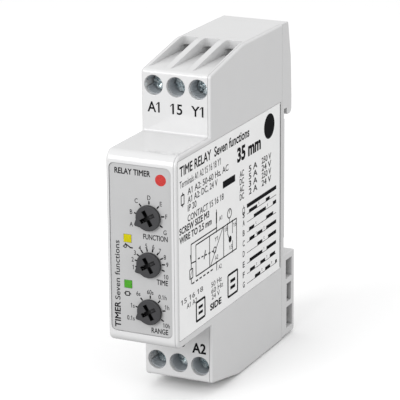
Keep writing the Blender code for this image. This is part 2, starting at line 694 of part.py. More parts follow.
def knob(name, z, look):
    """Setting knob: a disc with a small pointer, a cross recess and a shaft into its trimmer."""
    origin = at(KNOB_X, KNOB_Y[0], z)
    rest = math.radians(KNOB_REST_DEG)
    spread = math.acos(KNOB_RADIUS / KNOB_POINTER)
    start, sweep = rest + spread, 2 * math.pi - 2 * spread
    angles = [start + sweep * k / 26 for k in range(27)]
    outline = [(KNOB_X + KNOB_RADIUS * math.cos(a), z + KNOB_RADIUS * math.sin(a)) for a in angles]
    tip = (KNOB_X + KNOB_POINTER * math.cos(rest), z + KNOB_POINTER * math.sin(rest))
    head = slab(name, "xz", [*outline, tip], *KNOB_Y, origin=origin)
    soften(head, 0.2)
    overlap = 0.4
    length = KNOB_SHAFT_LENGTH + overlap
    add(head, rod("shaft", "y", (KNOB_X, KNOB_Y[1] - overlap, z), length, KNOB_SHAFT_RADIUS, 20))
    arm_x = (KNOB_X - KNOB_RECESS_HALF_LENGTH, KNOB_X + KNOB_RECESS_HALF_LENGTH)
    arm_y = (KNOB_Y[0] - BEYOND, KNOB_Y[0] + KNOB_RECESS_DEPTH)
    arm_z = (z - KNOB_RECESS_HALF_WIDTH, z + KNOB_RECESS_HALF_WIDTH)
    for turn in (0, 90):
        arm = block("driver_arm", arm_x, arm_y, arm_z)
        arm.rotation_euler = (0, -math.radians(KNOB_REST_DEG + turn), 0)
        cut(head, arm)
    return finish(head, look, smooth=True)


def trimmer(name, z, look):
    """Potentiometer body on the board behind its knob, with three legs."""
    body = block(name, TRIMMER_X, TRIMMER_Y, (z - TRIMMER_HALF_HEIGHT, z + TRIMMER_HALF_HEIGHT))
    soften(body, 0.4)
    depth = KNOB_Y[1] + KNOB_SHAFT_LENGTH + 0.9
    bore = rod("shaft_bore", "y", (KNOB_X, BEYOND, z), depth - BEYOND, KNOB_SHAFT_RADIUS + 0.15, 20)
    cut(body, bore)
    for y in TRIMMER_LEGS_Y:
        add(body, block("leg", (BOARD_FACE, TRIMMER_X[0] + 0.4), (y - 0.25, y + 0.25), (z - 0.4, z + 0.4)))
    return finish(body, look)


def light_guide(name, z, look):
    """Square clear bar that carries a signal lamp's light to the front, with a stop collar."""
    across, up = WINDOW_HALF
    bar = block(name, (WINDOW_X - across, WINDOW_X + across), WINDOW_Y, (z - up, z + up))
    across, up = across + COLLAR_RIM, up + COLLAR_RIM
    add(bar, block("collar", (WINDOW_X - across, WINDOW_X + across), COLLAR_Y, (z - up, z + up)))
    return finish(bar, look)


def lamp(name, z, look):
    """Side-looking light-emitting diode on the board behind its guide."""
    heights = (z - LAMP_HALF_HEIGHT, z + LAMP_HALF_HEIGHT)
    body = block(name, (BOARD_FACE, LAMP_X_END), LAMP_Y, heights)
    add(body, rod("lens", "y", (WINDOW_X, LAMP_LENS_Y, z), 1.0, LAMP_LENS_RADIUS, 16))
    return finish(body, look, smooth=True)


# Board and its components

def main_board(look):
    """The circuit board, wide in the nose and reaching past both carriers at the back."""
    corners = [
        (BOARD_FRONT_Y, BOARD_NOSE_Z),
        (BOARD_SHOULDER_Y, BOARD_NOSE_Z),
        (BOARD_SHOULDER_Y, BOARD_MIDDLE_Z),
        (BOARD_WAIST_Y, BOARD_MIDDLE_Z),
        (BOARD_WAIST_Y, BOARD_REAR_Z),
        (BOARD_BACK_Y, BOARD_REAR_Z),
    ]
    top = [(y, high) for y, (low, high) in corners]
    bottom = [(y, low) for y, (low, high) in reversed(corners)]
    return finish(slab("main_board", "yz", [*top, *bottom], *BOARD_X), look)


def relay(looks):
    """Output relay: base, cover, coil on its former, yoke with core, armature and contacts."""
    y = (RELAY_COIL_Y - RELAY_HALF_DEPTH, RELAY_COIL_Y + RELAY_HALF_DEPTH)
    base_y = (y[0] + RELAY_BASE_GAP, y[1] - RELAY_BASE_GAP)
    base_z = (RELAY_Z[0] + RELAY_BASE_GAP, RELAY_Z[1] - RELAY_BASE_GAP)
    finish(block("relay_base", RELAY_BASE_X, base_y, base_z), looks["black"])
    cover = block("relay_cover", RELAY_COVER_X, y, RELAY_Z)
    soften(cover, 0.5, 2)
    wall = RELAY_COVER_WALL
    room_x = (RELAY_COVER_X[0] - BEYOND, RELAY_COVER_X[1] - wall)
    room_z = (RELAY_Z[0] + wall, RELAY_Z[1] - wall)
    cut(cover, block("relay_room", room_x, (y[0] + wall, y[1] - wall), room_z))
    finish(cover, looks["cover"])
    relay_coil(looks)
    relay_magnet(looks["steel"])
    relay_contacts(looks)


def relay_coil(looks):
    centre = (RELAY_COIL_X, RELAY_COIL_Y, FORMER_Z)
    top, flange = FORMER_HEIGHT, FORMER_FLANGE
    former = [
        (FORMER_BORE, top),
        (FORMER_RIM, top),
        (FORMER_RIM, top - flange),
        (FORMER_TUBE, top - flange),
        (FORMER_TUBE, flange),
        (FORMER_RIM, flange),
        (FORMER_RIM, 0),
        (FORMER_BORE, 0),
    ]
    finish(turned("relay_former", former, centre), looks["former"], smooth=True)
    low, high = flange + WINDING_GAP, top - flange - WINDING_GAP
    inner, outer = WINDING_RADII
    winding = [(inner, high), (outer, high), (outer, low), (inner, low)]
    finish(turned("relay_winding", winding, centre), looks["copper"], smooth=True)


def relay_magnet(look):
    """The yoke with its core, and the armature that tilts onto the core's end."""
    x, y = RELAY_COIL_X, RELAY_COIL_Y
    sides = (x - YOKE_HALF_WIDTH, x + YOKE_HALF_WIDTH)
    back = (y + YOKE_BACK - YOKE_THICKNESS, y + YOKE_BACK)
    yoke = block("relay_yoke", sides, (y - YOKE_FRONT, back[1]), YOKE_Z)
    add(yoke, block("leg", sides, back, (YOKE_Z[0] + 0.2, YOKE_LEG_TOP)))
    foot_z = sum(YOKE_Z) / 2
    add(yoke, rod("core", "z", (x, y, foot_z), CORE_TOP - foot_z, CORE_RADIUS, 20))
    finish(yoke, look)
    armature_x = (x - ARMATURE_HALF_WIDTH, x + ARMATURE_HALF_WIDTH)
    armature_y = (y - ARMATURE_FRONT, y + YOKE_BACK)
    armature = block("relay_armature", armature_x, armature_y, ARMATURE_Z, origin=armature_pivot())
    finish(armature, look)


def armature_pivot():
    return at(RELAY_COIL_X, RELAY_COIL_Y + ARMATURE_PIVOT, ARMATURE_Z[0])


def relay_contacts(looks):
    x, y = RELAY_COIL_X, RELAY_COIL_Y
    sides = (x - BLADE_HALF_WIDTH, x + BLADE_HALF_WIDTH)
    depth = (y - CONTACT_FRONT, y + CONTACT_BACK)
    blade = block("relay_moving_contact", sides, depth, BLADE_Z, origin=armature_pivot())
    low, high = BLADE_BUTTON_Z
    add(blade, rod("button", "z", (x, y - CONTACT_BUTTON, low), high - low, CONTACT_RADIUS, 16))
    finish(blade, looks["copper"], smooth=True)
    fixed_contact("relay_open_contact", OPEN_CONTACT_Z, OPEN_CONTACT_FACE, looks["copper"])
    fixed_contact("relay_closed_contact", CLOSED_CONTACT_Z, CLOSED_CONTACT_FACE, looks["copper"])


def fixed_contact(name, plate_z, face_z, look):
    """A contact strip on the relay's base with a button that reaches to face_z."""
    x, front = RELAY_COIL_X, RELAY_COIL_Y - CONTACT_FRONT
    strip_x = (FIXED_CONTACT_X, x + BLADE_HALF_WIDTH)
    strip = block(name, strip_x, (front, front + FIXED_CONTACT_DEPTH), plate_z)
    low, high = span(sum(plate_z) / 2, face_z)
    centre = (x, RELAY_COIL_Y - CONTACT_BUTTON, low)
    add(strip, rod("button", "z", centre, high - low, CONTACT_RADIUS, 16))
    finish(strip, look, smooth=True)


def moulded_box(name, part, x_end, look, segments=1):
    """A rounded component body between the board's face and x_end."""
    body = block(name, (BOARD_FACE, x_end), part["y"], part["z"])
    soften(body, part["round"], segments)
    return finish(body, look)


def filter_capacitor(look):
    """A can on end, with the crimped bead round its foot."""
    part = FILTER_CAPACITOR
    radius, height, rim = part["radius"], part["height"], part["rim"]
    low, high = part["bead"]
    middle = (low + high) / 2
    profile = [
        (0, height),
        (radius - rim, height),
        (radius, height - rim),
        (radius, high),
        (radius - rim, middle),
        (radius, low),
        (radius, 0),
        (0, 0),
    ]
    can = turned("filter_capacitor", profile, (BOARD_FACE, part["y"], part["z"]), "x")
    return finish(can, look, smooth=True)


def supply_choke(look):
    """A drum core: two flanges with the sleeved winding between them."""
    part = CHOKE
    radius, waist, height = part["radius"], part["waist"], part["height"]
    flange, slope = part["flange"], part["flange"] + part["taper"]
    profile = [
        (0, height),
        (radius, height),
        (radius, height - flange),
        (waist, height - slope),
        (waist, slope),
        (radius, flange),
        (radius, 0),
        (0, 0),
    ]
    drum = turned("supply_choke", profile, (BOARD_FACE, part["y"], part["z"]), "x")
    return finish(drum, look, smooth=True)


def varistor(look):
    part = VARISTOR
    centre = (BOARD_FACE + part["centre"], part["y"], part["z"])
    disc = rod("varistor", "y", centre, part["thickness"], part["radius"], 28)
    soften(disc, part["round"], 2)
    leads = VARISTOR_LEADS
    add(disc, block("leads", (BOARD_FACE, BOARD_FACE + leads["length"]), leads["y"], leads["z"]))
    return finish(disc, look, smooth=True)


def fusible_resistor(look):
    """A lacquered body that bulges over the cap at each end."""
    part = RESISTOR
    length, waist, bulge, cap = part["length"], part["waist"], part["bulge"], part["cap"]
    half = [(waist, 0), (bulge, 0.4), (bulge, cap - 0.4), (waist, cap)]
    upper = [(radius, length - height) for radius, height in half]
    profile = [(0, length), *upper, *reversed(half), (0, 0)]
    body = turned("fusible_resistor", profile, (BOARD_FACE + part["lift"], part["y"], part["z"]))
    return finish(body, look, smooth=True)


def components(looks):
    """The power supply and control parts on the board."""
    moulded_box("film_capacitor", FILM_CAPACITOR, FILM_CAPACITOR["x_end"], looks["film"], 2)
    moulded_box("controller_chip", CHIP, BOARD_FACE + CHIP["height"], looks["black"])
    moulded_box("bridge_rectifier", BRIDGE, BOARD_FACE + BRIDGE["height"], looks["black"])
    filter_capacitor(looks["can"])
    supply_choke(looks["ferrite"])
    varistor(looks["varistor"])
    fusible_resistor(looks["varistor"])


def build():
    case = material("case_plastic", CASE_GREY, 0.38)
    label = material("front_label_film", (0.55, 0.56, 0.56), 0.5)
    paper = material("side_label_film", (0.78, 0.78, 0.77), 0.55)
    steel = material("plated_steel", STEEL, 0.3, 1.0)
    dark = material("knob_plastic", DARK_GREY, 0.45)
    brass = material("tinned_brass", BRASS, 0.35, 1.0)
    inner = material("carrier_plastic", (0.60, 0.61, 0.62), 0.5)
    black = material("black_moulding", BLACK, 0.5)
    looks = {
        "black": black,
        "steel": steel,
        "cover": material("relay_cover_plastic", (0.05, 0.12, 0.28), 0.4),
        "former": material("former_plastic", (0.75, 0.73, 0.68), 0.5),
        "copper": material("copper_alloy", (0.72, 0.38, 0.22), 0.35, 1.0),
        "film": material("capacitor_plastic", (0.70, 0.58, 0.20), 0.45),
        "can": material("capacitor_sleeve", (0.06, 0.07, 0.12), 0.35),
        "ferrite": material("ferrite", (0.08, 0.08, 0.085), 0.6),
        "varistor": material("component_lacquer", (0.10, 0.22, 0.50), 0.45),
    }
    housing_shell(case)
    side_cover(case)
    front_label(label)
    side_label(paper)
    rail_clip(material("clip_plastic", (0.30, 0.31, 0.32), 0.45))
    clip_spring(steel)
    for row, upper in (("upper", True), ("lower", False)):
        z = terminal_z(upper)
        terminal_carrier(f"terminal_carrier_{row}", upper, inner)
        for x, tag, end_z in zip(TERMINAL_X, TERMINAL_NAMES[row], BUS_ENDS):
            terminal_screw(f"terminal_screw_{tag}", x, z, steel)
            cage(f"clamp_cage_{tag}", x, z, steel)
            bus_bar(f"contact_bar_{tag}", x, upper, end_z, brass)
    for name, z in KNOB_Z.items():
        knob(f"{name}_knob", z, dark)
        trimmer(f"{name}_trimmer", z, black)
    glow = {"yellow": (0.75, 0.68, 0.02), "green": (0.10, 0.50, 0.05)}
    for colour, z in WINDOW_Z.items():
        light_guide(f"{colour}_window", z, material(f"{colour}_lens", glow[colour], 0.2))
        lamp(f"{colour}_lamp", z, material(f"{colour}_lamp_body", (0.7, 0.7, 0.68), 0.4))
    main_board(material("board_laminate", (0.03, 0.20, 0.07), 0.5))
    relay(looks)
    components(looks)


build()
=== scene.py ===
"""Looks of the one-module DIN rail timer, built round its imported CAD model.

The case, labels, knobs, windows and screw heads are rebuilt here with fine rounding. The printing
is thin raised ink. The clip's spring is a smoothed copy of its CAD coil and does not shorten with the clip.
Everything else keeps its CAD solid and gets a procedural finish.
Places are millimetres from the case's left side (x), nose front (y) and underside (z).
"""
import json
import math

import bmesh
import bpy
from mathutils import Matrix, Vector


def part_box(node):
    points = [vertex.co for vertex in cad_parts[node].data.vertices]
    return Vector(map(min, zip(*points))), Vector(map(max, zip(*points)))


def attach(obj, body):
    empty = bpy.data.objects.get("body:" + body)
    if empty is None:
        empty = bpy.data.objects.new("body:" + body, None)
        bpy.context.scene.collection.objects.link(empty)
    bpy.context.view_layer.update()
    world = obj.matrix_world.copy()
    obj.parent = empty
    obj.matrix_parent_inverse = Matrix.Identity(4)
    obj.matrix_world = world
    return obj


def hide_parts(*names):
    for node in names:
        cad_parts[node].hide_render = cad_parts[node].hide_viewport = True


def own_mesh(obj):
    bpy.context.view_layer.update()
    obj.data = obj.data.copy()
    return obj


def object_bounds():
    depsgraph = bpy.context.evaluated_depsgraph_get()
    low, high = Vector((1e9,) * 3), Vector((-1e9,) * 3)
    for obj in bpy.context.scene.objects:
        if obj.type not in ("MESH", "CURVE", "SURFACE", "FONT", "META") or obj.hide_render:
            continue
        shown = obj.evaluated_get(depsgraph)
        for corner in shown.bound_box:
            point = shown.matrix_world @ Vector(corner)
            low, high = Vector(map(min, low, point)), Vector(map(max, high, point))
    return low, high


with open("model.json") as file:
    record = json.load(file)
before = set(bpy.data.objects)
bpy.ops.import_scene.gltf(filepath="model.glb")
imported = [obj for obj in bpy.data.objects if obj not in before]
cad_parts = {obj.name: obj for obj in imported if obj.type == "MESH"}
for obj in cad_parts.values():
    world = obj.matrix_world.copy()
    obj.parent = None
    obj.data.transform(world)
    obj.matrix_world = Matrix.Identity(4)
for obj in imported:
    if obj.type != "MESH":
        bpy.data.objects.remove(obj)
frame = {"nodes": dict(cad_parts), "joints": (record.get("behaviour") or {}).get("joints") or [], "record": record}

CAD_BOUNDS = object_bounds()
MM = 0.001
CASE_LOW, CASE_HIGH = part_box("side_cover")
SHELL_LOW, SHELL_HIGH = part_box("housing_shell")
CORNER = Vector((SHELL_LOW.x, CASE_LOW.y, CASE_LOW.z))


def size_mm(low, high):
    return (high - low) / MM


WIDTH = size_mm(SHELL_LOW, CASE_HIGH).x
HEIGHT = size_mm(CASE_LOW, CASE_HIGH).z
CASE_BACK_Y = size_mm(CASE_LOW, CASE_HIGH).y
REAR_Y = size_mm(CORNER, SHELL_HIGH).y


def at(x, y, z):
    """A point x, y, z millimetres from the case's left side, nose front and underside."""
    return CORNER + Vector((x, y, z)) * MM


def box_mm(node):
    """A CAD node's lowest and highest corner in the millimetre measure used here."""
    low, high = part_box(node)
    return (low - CORNER) / MM, (high - CORNER) / MM


def middle_mm(node):
    low, high = box_mm(node)
    return (low + high) / 2


# Case measures that the CAD solids share
NOSE_BOTTOM, NOSE_TOP = 17.6, 63.0
NOSE_FLOOR, NOSE_CEILING = 18.8, 61.8
SHOULDER_Y = 18.1
SHOULDER_BOTTOM, SHOULDER_TOP = 3.1, 77.5
SLOPE_END_TOP, SLOPE_END_BOTTOM = 36.3, 33.6
EDGE_ROUND = 0.55
COVER_INSIDE_X = 16.9
SEAM = 0.08
BEYOND = 1.0
RAIL_SEAT_Y = 61.0
STRIP_INSET = 0.2
FOOT_TOP = 21.8
HOOK_TAPER = ((65.2, 62.0), (64.7, 72.0), (63.0, HEIGHT - 0.1))
POCKETS = (((62.5, 66.1), (2.1, 7.6)), ((62.6, 65.4), (9.0, 13.8)), ((62.0, 65.7), (15.3, 20.2)))
POCKET_DEPTH = 3.3
CLIP_Y = (62.2, 64.0)
ACCESS_RADIUS = 2.35
SCOOP_HALF_WIDTH, SCOOP_BACK_Y, SCOOP_FLOOR = 2.0, 38.9, 77.8
WIRE_HALF_WIDTH, WIRE_Y = 2.1, (36.2, 39.9)
TERMINAL_ROWS = {"upper": ("a1", "15", "y1"), "lower": ("16", "18", "a2")}
SCREW_NODES = [f"terminal_screw_{tag}" for row in TERMINAL_ROWS.values() for tag in row]
KNOB_NODES = ("function_knob", "time_knob", "range_knob")
KNOB_REST_DEG = 210
KNOB_SHAFT_RADIUS = 1.95
WINDOW_NODES = ("yellow_window", "green_window")

# Half the width and height of a window's visible end, a little less than the CAD solid's
WINDOW_HALF = (0.96, 0.92)


# ---------------------------------------------------------------- materials

class Finish:
    """A node material under construction."""

    def __init__(self, name):
        self.material = bpy.data.materials.new(name)
        self.material.use_nodes = True
        self.tree = self.material.node_tree
        self.shader = self.tree.nodes["Principled BSDF"]
        self.coords = self.add("ShaderNodeTexCoord").outputs["Object"]

    def add(self, kind, **values):
        node = self.tree.nodes.new(kind)
        for key, value in values.items():
            setattr(node, key, value)
        return node

    def link(self, source, target):
        self.tree.links.new(source, target)

    def noise(self, feature_mm, detail=3.0, stretch=(1, 1, 1)):
        """Noise whose features are about feature_mm across."""
        place = self.add("ShaderNodeMapping")
        place.inputs["Scale"].default_value = [s / (feature_mm * MM) for s in stretch]
        self.link(self.coords, place.inputs["Vector"])
        texture = self.add("ShaderNodeTexNoise")
        texture.inputs["Scale"].default_value = 1.0
        texture.inputs["Detail"].default_value = detail
        self.link(place.outputs["Vector"], texture.inputs["Vector"])
        return texture.outputs["Fac"]

    def spread(self, source, low, high):
        """Maps a 0.3 to 0.7 signal onto low to high."""
        node = self.add("ShaderNodeMapRange")
        node.inputs["From Min"].default_value = 0.3
        node.inputs["From Max"].default_value = 0.7
        node.inputs["To Min"].default_value = low
        node.inputs["To Max"].default_value = high
        self.link(source, node.inputs["Value"])
        return node.outputs["Result"]

    def tint(self, source, dark, light):
        """Mixes two colours by a signal."""
        node = self.add("ShaderNodeMix", data_type="RGBA")
        node.inputs["A"].default_value = (*dark, 1)
        node.inputs["B"].default_value = (*light, 1)
        self.link(source, node.inputs["Factor"])
        return node.outputs["Result"]

    def bump(self, height, strength, depth_mm, base=None):
        node = self.add("ShaderNodeBump")
        node.inputs["Strength"].default_value = strength
        node.inputs["Distance"].default_value = depth_mm * MM
        self.link(height, node.inputs["Height"])
        if base is not None:
            self.link(base, node.inputs["Normal"])
        self.link(node.outputs["Normal"], self.shader.inputs["Normal"])
        return node.outputs["Normal"]

    def darken_recesses(self, base, dark, reach_mm, closed, open_, alone=True):
        """Paints shade into a colour where surfaces within reach_mm shut out the light.

        closed and open_ are the shares of open sky at which it is fully dark and fully itself.
        When alone, only the piece's own surfaces count.
        """
        sky = self.add("ShaderNodeAmbientOcclusion", samples=8, only_local=alone)
        sky.inputs["Distance"].default_value = reach_mm * MM
        curve = self.add("ShaderNodeMapRange")
        curve.inputs["From Min"].default_value = closed
        curve.inputs["From Max"].default_value = open_
        self.link(sky.outputs["AO"], curve.inputs["Value"])
        mix = self.add("ShaderNodeMix", data_type="RGBA")
        mix.inputs["A"].default_value = (*dark, 1)
        self.link(curve.outputs["Result"], mix.inputs["Factor"])
        self.link(base, mix.inputs["B"])
        return mix.outputs["Result"]

    def soft_edges(self, radius_mm):
        node = self.add("ShaderNodeBevel", samples=6)
        node.inputs["Radius"].default_value = radius_mm * MM
        return node.outputs["Normal"]


PLASTIC_GRAIN_MM = 0.12
SOFT_EDGE_MM = 0.12


def shade(colour, factor):
    return tuple(min(1.0, c * factor) for c in colour)


def moulded(name, colour, roughness, grain=0.12, mottling=0.02, gloss=0.5, recesses=None):
    """Moulded plastic: a fine spark-eroded grain, faint flow mottling and softened edges.

    The last argument gives the colour, reach and limits of open sky for the painted shade in hollows.
    """
    f = Finish(name)
    broad = f.noise(9.0, 2.0)
    fine = f.noise(PLASTIC_GRAIN_MM, 4.0)
    base = f.tint(f.spread(broad, 0, 1), shade(colour, 1 - mottling), shade(colour, 1 + mottling))
    # painted shade: hollows get a darker colour where ambient occlusion finds little open sky
    if recesses:
        base = f.darken_recesses(base, *recesses)
    f.link(base, f.shader.inputs["Base Color"])
    f.link(f.spread(fine, roughness - 0.05, roughness + 0.05), f.shader.inputs["Roughness"])
    f.shader.inputs["Specular IOR Level"].default_value = gloss
    f.bump(fine, grain, 0.02, f.soft_edges(SOFT_EDGE_MM))
    return f.material


def film(name, colour, roughness):
    """Printed polyester label film: even colour with a very fine tooth."""
    f = Finish(name)
    cloud = f.noise(5.0, 3.0)
    tooth = f.noise(0.08, 2.0)
    f.link(f.tint(f.spread(cloud, 0, 1), shade(colour, 0.985), shade(colour, 1.015)),
           f.shader.inputs["Base Color"])
    f.link(f.spread(tooth, roughness - 0.04, roughness + 0.06), f.shader.inputs["Roughness"])
    f.bump(tooth, 0.05, 0.01)
    return f.material


def plated(name, colour, roughness, brush=(1, 1, 1), wear_and_sheen=0.12):
    """Plated metal with fine drawn or turned lines and patchy brightness: wear, and painted reflection when
    strong.
    """
    f = Finish(name)
    patches = f.noise(0.8, 4.0)
    lines = f.noise(0.15, 3.0, brush)
    f.link(f.tint(f.spread(patches, 0, 1), shade(colour, 1 - wear_and_sheen), shade(colour, 1 + wear_and_sheen)),
           f.shader.inputs["Base Color"])
    f.shader.inputs["Metallic"].default_value = 1.0
    f.link(f.spread(lines, roughness - 0.08, roughness + 0.1), f.shader.inputs["Roughness"])
    f.bump(lines, 0.15, 0.02, f.soft_edges(0.08))
    return f.material


def ink(name, colour):
    """Screen-printed matt ink, a little uneven in density."""
    f = Finish(name)
    density = f.noise(0.4, 4.0)
    f.link(f.tint(f.spread(density, 0, 1), colour, shade(colour, 1.4)), f.shader.inputs["Base Color"])
    f.shader.inputs["Specular IOR Level"].default_value = 0.02
    f.link(f.spread(density, 0.6, 0.8), f.shader.inputs["Roughness"])
    return f.material


def lens(name, colour, glow):
    """Tinted clear plastic with a faint painted glow, an emission standing in for light from the lamp behind."""
    f = Finish(name)
    cloud = f.noise(0.7, 3.0)
    f.link(f.tint(f.spread(cloud, 0, 1), shade(colour, 0.93), shade(colour, 1.07)),
           f.shader.inputs["Base Color"])
    f.shader.inputs["Subsurface Weight"].default_value = 0.25
    f.shader.inputs["Subsurface Radius"].default_value = (0.001, 0.001, 0.001)
    f.shader.inputs["Subsurface Scale"].default_value = 0.4
    f.shader.inputs["Emission Color"].default_value = (*colour, 1)
    f.shader.inputs["Emission Strength"].default_value = glow
    f.shader.inputs["Specular IOR Level"].default_value = 0.2
    f.link(f.spread(cloud, 0.25, 0.35), f.shader.inputs["Roughness"])
    f.bump(cloud, 0.05, 0.02)
    return f.material


def laminate(name):
    """Green solder mask over copper tracks."""
    f = Finish(name)
    place = f.add("ShaderNodeMapping")
    place.inputs["Scale"].default_value = (1 / (3.2 * MM),) * 3
    f.link(f.coords, place.inputs["Vector"])
    tracks = f.add("ShaderNodeTexVoronoi", feature="DISTANCE_TO_EDGE", distance="MANHATTAN")
    f.link(place.outputs["Vector"], tracks.inputs["Vector"])
    edge = f.add("ShaderNodeMapRange")
    edge.inputs["From Min"].default_value = 0.05
    edge.inputs["From Max"].default_value = 0.09
    f.link(tracks.outputs["Distance"], edge.inputs["Value"])
    f.link(f.tint(edge.outputs["Result"], (0.07, 0.30, 0.11), (0.015, 0.13, 0.05)),
           f.shader.inputs["Base Color"])
    f.shader.inputs["Roughness"].default_value = 0.35
    f.bump(edge.outputs["Result"], 0.2, 0.03)
    return f.material


def wound(name):
    """Enamelled copper wire laid turn on turn."""
    f = Finish(name)
    turns = f.add("ShaderNodeTexWave", wave_type="BANDS", bands_direction="Z")
    turns.inputs["Scale"].default_value = 0.5 / (0.2 * MM)
    turns.inputs["Distortion"].default_value = 0.6
    f.link(f.coords, turns.inputs["Vector"])
    f.link(f.tint(turns.outputs["Fac"], (0.30, 0.10, 0.04), (0.78, 0.36, 0.16)),
           f.shader.inputs["Base Color"])
    f.shader.inputs["Metallic"].default_value = 0.8
    f.shader.inputs["Roughness"].default_value = 0.35
    f.bump(turns.outputs["Fac"], 0.6, 0.05)
    return f.material


def make_finishes():
    case = (0.585, 0.585, 0.588)
    # Painted shade: the case's foot pockets and other deep hollows get a darker colour where little open sky
    # reaches them.
    case_recess_shade = (shade(case, 0.16), 5.0, 0.18, 0.35)
    # Painted shade: the knobs' cross recesses go nearly black where little open sky reaches them.
    knob_recess_shade = ((0.002, 0.002, 0.0025), 1.2, 0.6, 0.95, False)
    return {
        "case_plastic": moulded(
            "case_plastic_grain", case, 0.08, grain=0.04, mottling=0.008, recesses=case_recess_shade
        ),
        "front_label_film": film("front_label_film_print", (0.412, 0.412, 0.415), 0.5),
        "side_label_film": film("side_label_film_print", (0.79, 0.79, 0.79), 0.5),
        "clip_plastic": moulded("clip_plastic_grain", (0.55, 0.56, 0.57), 0.45),
        "spring_steel": plated("spring_wire", (0.55, 0.56, 0.58), 0.3),
        "carrier_plastic": moulded("carrier_plastic_grain", (0.43, 0.455, 0.48), 0.5),
        # Strong patches on the zinc screw heads are painted reflection: bright and dark patches standing in for
        # highlights.
        "plated_steel": plated("zinc_plate", (0.60, 0.71, 0.78), 0.2, (1, 6, 1), 0.55),
        "tinned_brass": plated("tin_plate", (0.72, 0.70, 0.62), 0.3, (1, 1, 5)),
        "knob_plastic": moulded(
            "knob_plastic_grain",
            (0.043, 0.043, 0.0455),
            0.5,
            grain=0.2,
            mottling=0.1,
            gloss=0.2,
            recesses=knob_recess_shade,
        ),
        "black_moulding": moulded("black_moulding_grain", (0.02, 0.02, 0.022), 0.5, mottling=0.15),
        "yellow_lens": lens("yellow_lens_glow", (0.47, 0.42, 0.0), 0.03),
        "green_lens": lens("green_lens_glow", (0.06, 0.28, 0.02), 0.03),
        "lamp_body": moulded("lamp_moulding", (0.72, 0.72, 0.70), 0.35, mottling=0.03),
        "board_laminate": laminate("solder_mask"),
        "relay_cover_plastic": moulded("relay_cover_grain", (0.05, 0.12, 0.28), 0.3, mottling=0.06),
        "former_plastic": moulded("former_grain", (0.75, 0.73, 0.68), 0.45, mottling=0.04),
        "copper_wire": wound("copper_turns"),
        "relay_iron": plated("nickel_plate", (0.6, 0.6, 0.6), 0.35, (1, 1, 4)),
        "capacitor_plastic": moulded("capacitor_grain", (0.62, 0.50, 0.14), 0.4, mottling=0.05),
        "capacitor_sleeve": moulded("sleeve_grain", (0.05, 0.06, 0.11), 0.25, mottling=0.1),
        "ferrite": moulded("ferrite_grain", (0.07, 0.07, 0.075), 0.6, grain=0.4, mottling=0.15),
        "component_lacquer": moulded("lacquer_skin", (0.08, 0.20, 0.48), 0.3, mottling=0.1),
    }


# ---------------------------------------------------------------- shapes

PLANES = {
    "yz": Matrix(((0, 0, 1), (1, 0, 0), (0, 1, 0))),
    "xz": Matrix(((1, 0, 0), (0, 0, -1), (0, 1, 0))),
    "xy": Matrix(((1, 0, 0), (0, 1, 0), (0, 0, 1))),
}
AXES = {"x": Vector((1, 0, 0)), "y": Vector((0, 1, 0)), "z": Vector((0, 0, 1))}
ARC_STEP = math.radians(7)


def wrap(name, bm, origin):
    mesh = bpy.data.meshes.new(name)
    bm.to_mesh(mesh)
    bm.free()
    shape = bpy.data.objects.new(name, mesh)
    shape.location = origin
    bpy.context.scene.collection.objects.link(shape)
    return shape


def rounded(corners):
    """Outline points from (u, v, radius) corners, each radius turned into a fine arc."""
    points = []
    for i, (u, v, radius) in enumerate(corners):
        here = Vector((u, v))
        if not radius:
            points.append(here)
            continue
        before = (here - Vector(corners[i - 1][:2])).normalized()
        after = (Vector(corners[(i + 1) % len(corners)][:2]) - here).normalized()
        turn = before.angle_signed(after)
        reach = radius * math.tan(abs(turn) / 2)
        steps = max(3, math.ceil(abs(turn) / ARC_STEP))
        side = Vector((before.y, -before.x)) * math.copysign(radius, turn)
        centre = here - before * reach + side
        points += [centre + Matrix.Rotation(-turn * k / steps, 2) @ -side for k in range(steps + 1)]
    return points


def panel(u, v, radius):
    """A rectangle with rounded corners."""
    corners = [(u[0], v[0]), (u[0], v[1]), (u[1], v[1]), (u[1], v[0])]
    return rounded([(a, b, radius) for a, b in corners])


def slab(name, plane, outline, low, high):
    """A flat outline thickened between low and high along the axis normal to its plane."""
    bm = bmesh.new()
    corners = [bm.verts.new((u * MM, v * MM, low * MM)) for u, v in outline]
    face = bm.faces.new(corners)
    grown = bmesh.ops.extrude_face_region(bm, geom=[face])
    top = [v for v in grown["geom"] if isinstance(v, bmesh.types.BMVert)]
    bmesh.ops.translate(bm, verts=top, vec=(0, 0, (high - low) * MM))
    turn = PLANES[plane].to_4x4()
    if plane == "xz":
        # the third axis of this plane runs towards the front, so low and high change sign
        bmesh.ops.scale(bm, vec=(1, 1, -1), verts=bm.verts)
    bmesh.ops.transform(bm, matrix=turn, verts=bm.verts)
    bmesh.ops.recalc_face_normals(bm, faces=bm.faces)
    return wrap(name, bm, CORNER)


def block(name, x, y, z):
    """A box between the pairs x, y and z."""
    low, high = at(x[0], y[0], z[0]), at(x[1], y[1], z[1])
    bm = bmesh.new()
    bmesh.ops.create_cube(bm, size=1.0, matrix=Matrix.Diagonal((*(high - low), 1.0)))
    return wrap(name, bm, (low + high) / 2)


def rod(name, axis, start, length, radius, end_radius=None, segments=64):
    """A cylinder or cone along an axis from a start point."""
    direction = AXES[axis]
    bm = bmesh.new()
    bmesh.ops.create_cone(
        bm,
        cap_ends=True,
        segments=segments,
        radius1=radius * MM,
        radius2=(radius if end_radius is None else end_radius) * MM,
        depth=length * MM,
        matrix=direction.to_track_quat("Z", "Y").to_matrix().to_4x4(),
    )
    return wrap(name, bm, at(*start) + direction * (length * MM / 2))


def soften(piece, width, segments=3, angle=35):
    bevel = piece.modifiers.new("soften", "BEVEL")
    bevel.width = width * MM
    bevel.segments = segments
    bevel.limit_method = "ANGLE"
    bevel.angle_limit = math.radians(angle)


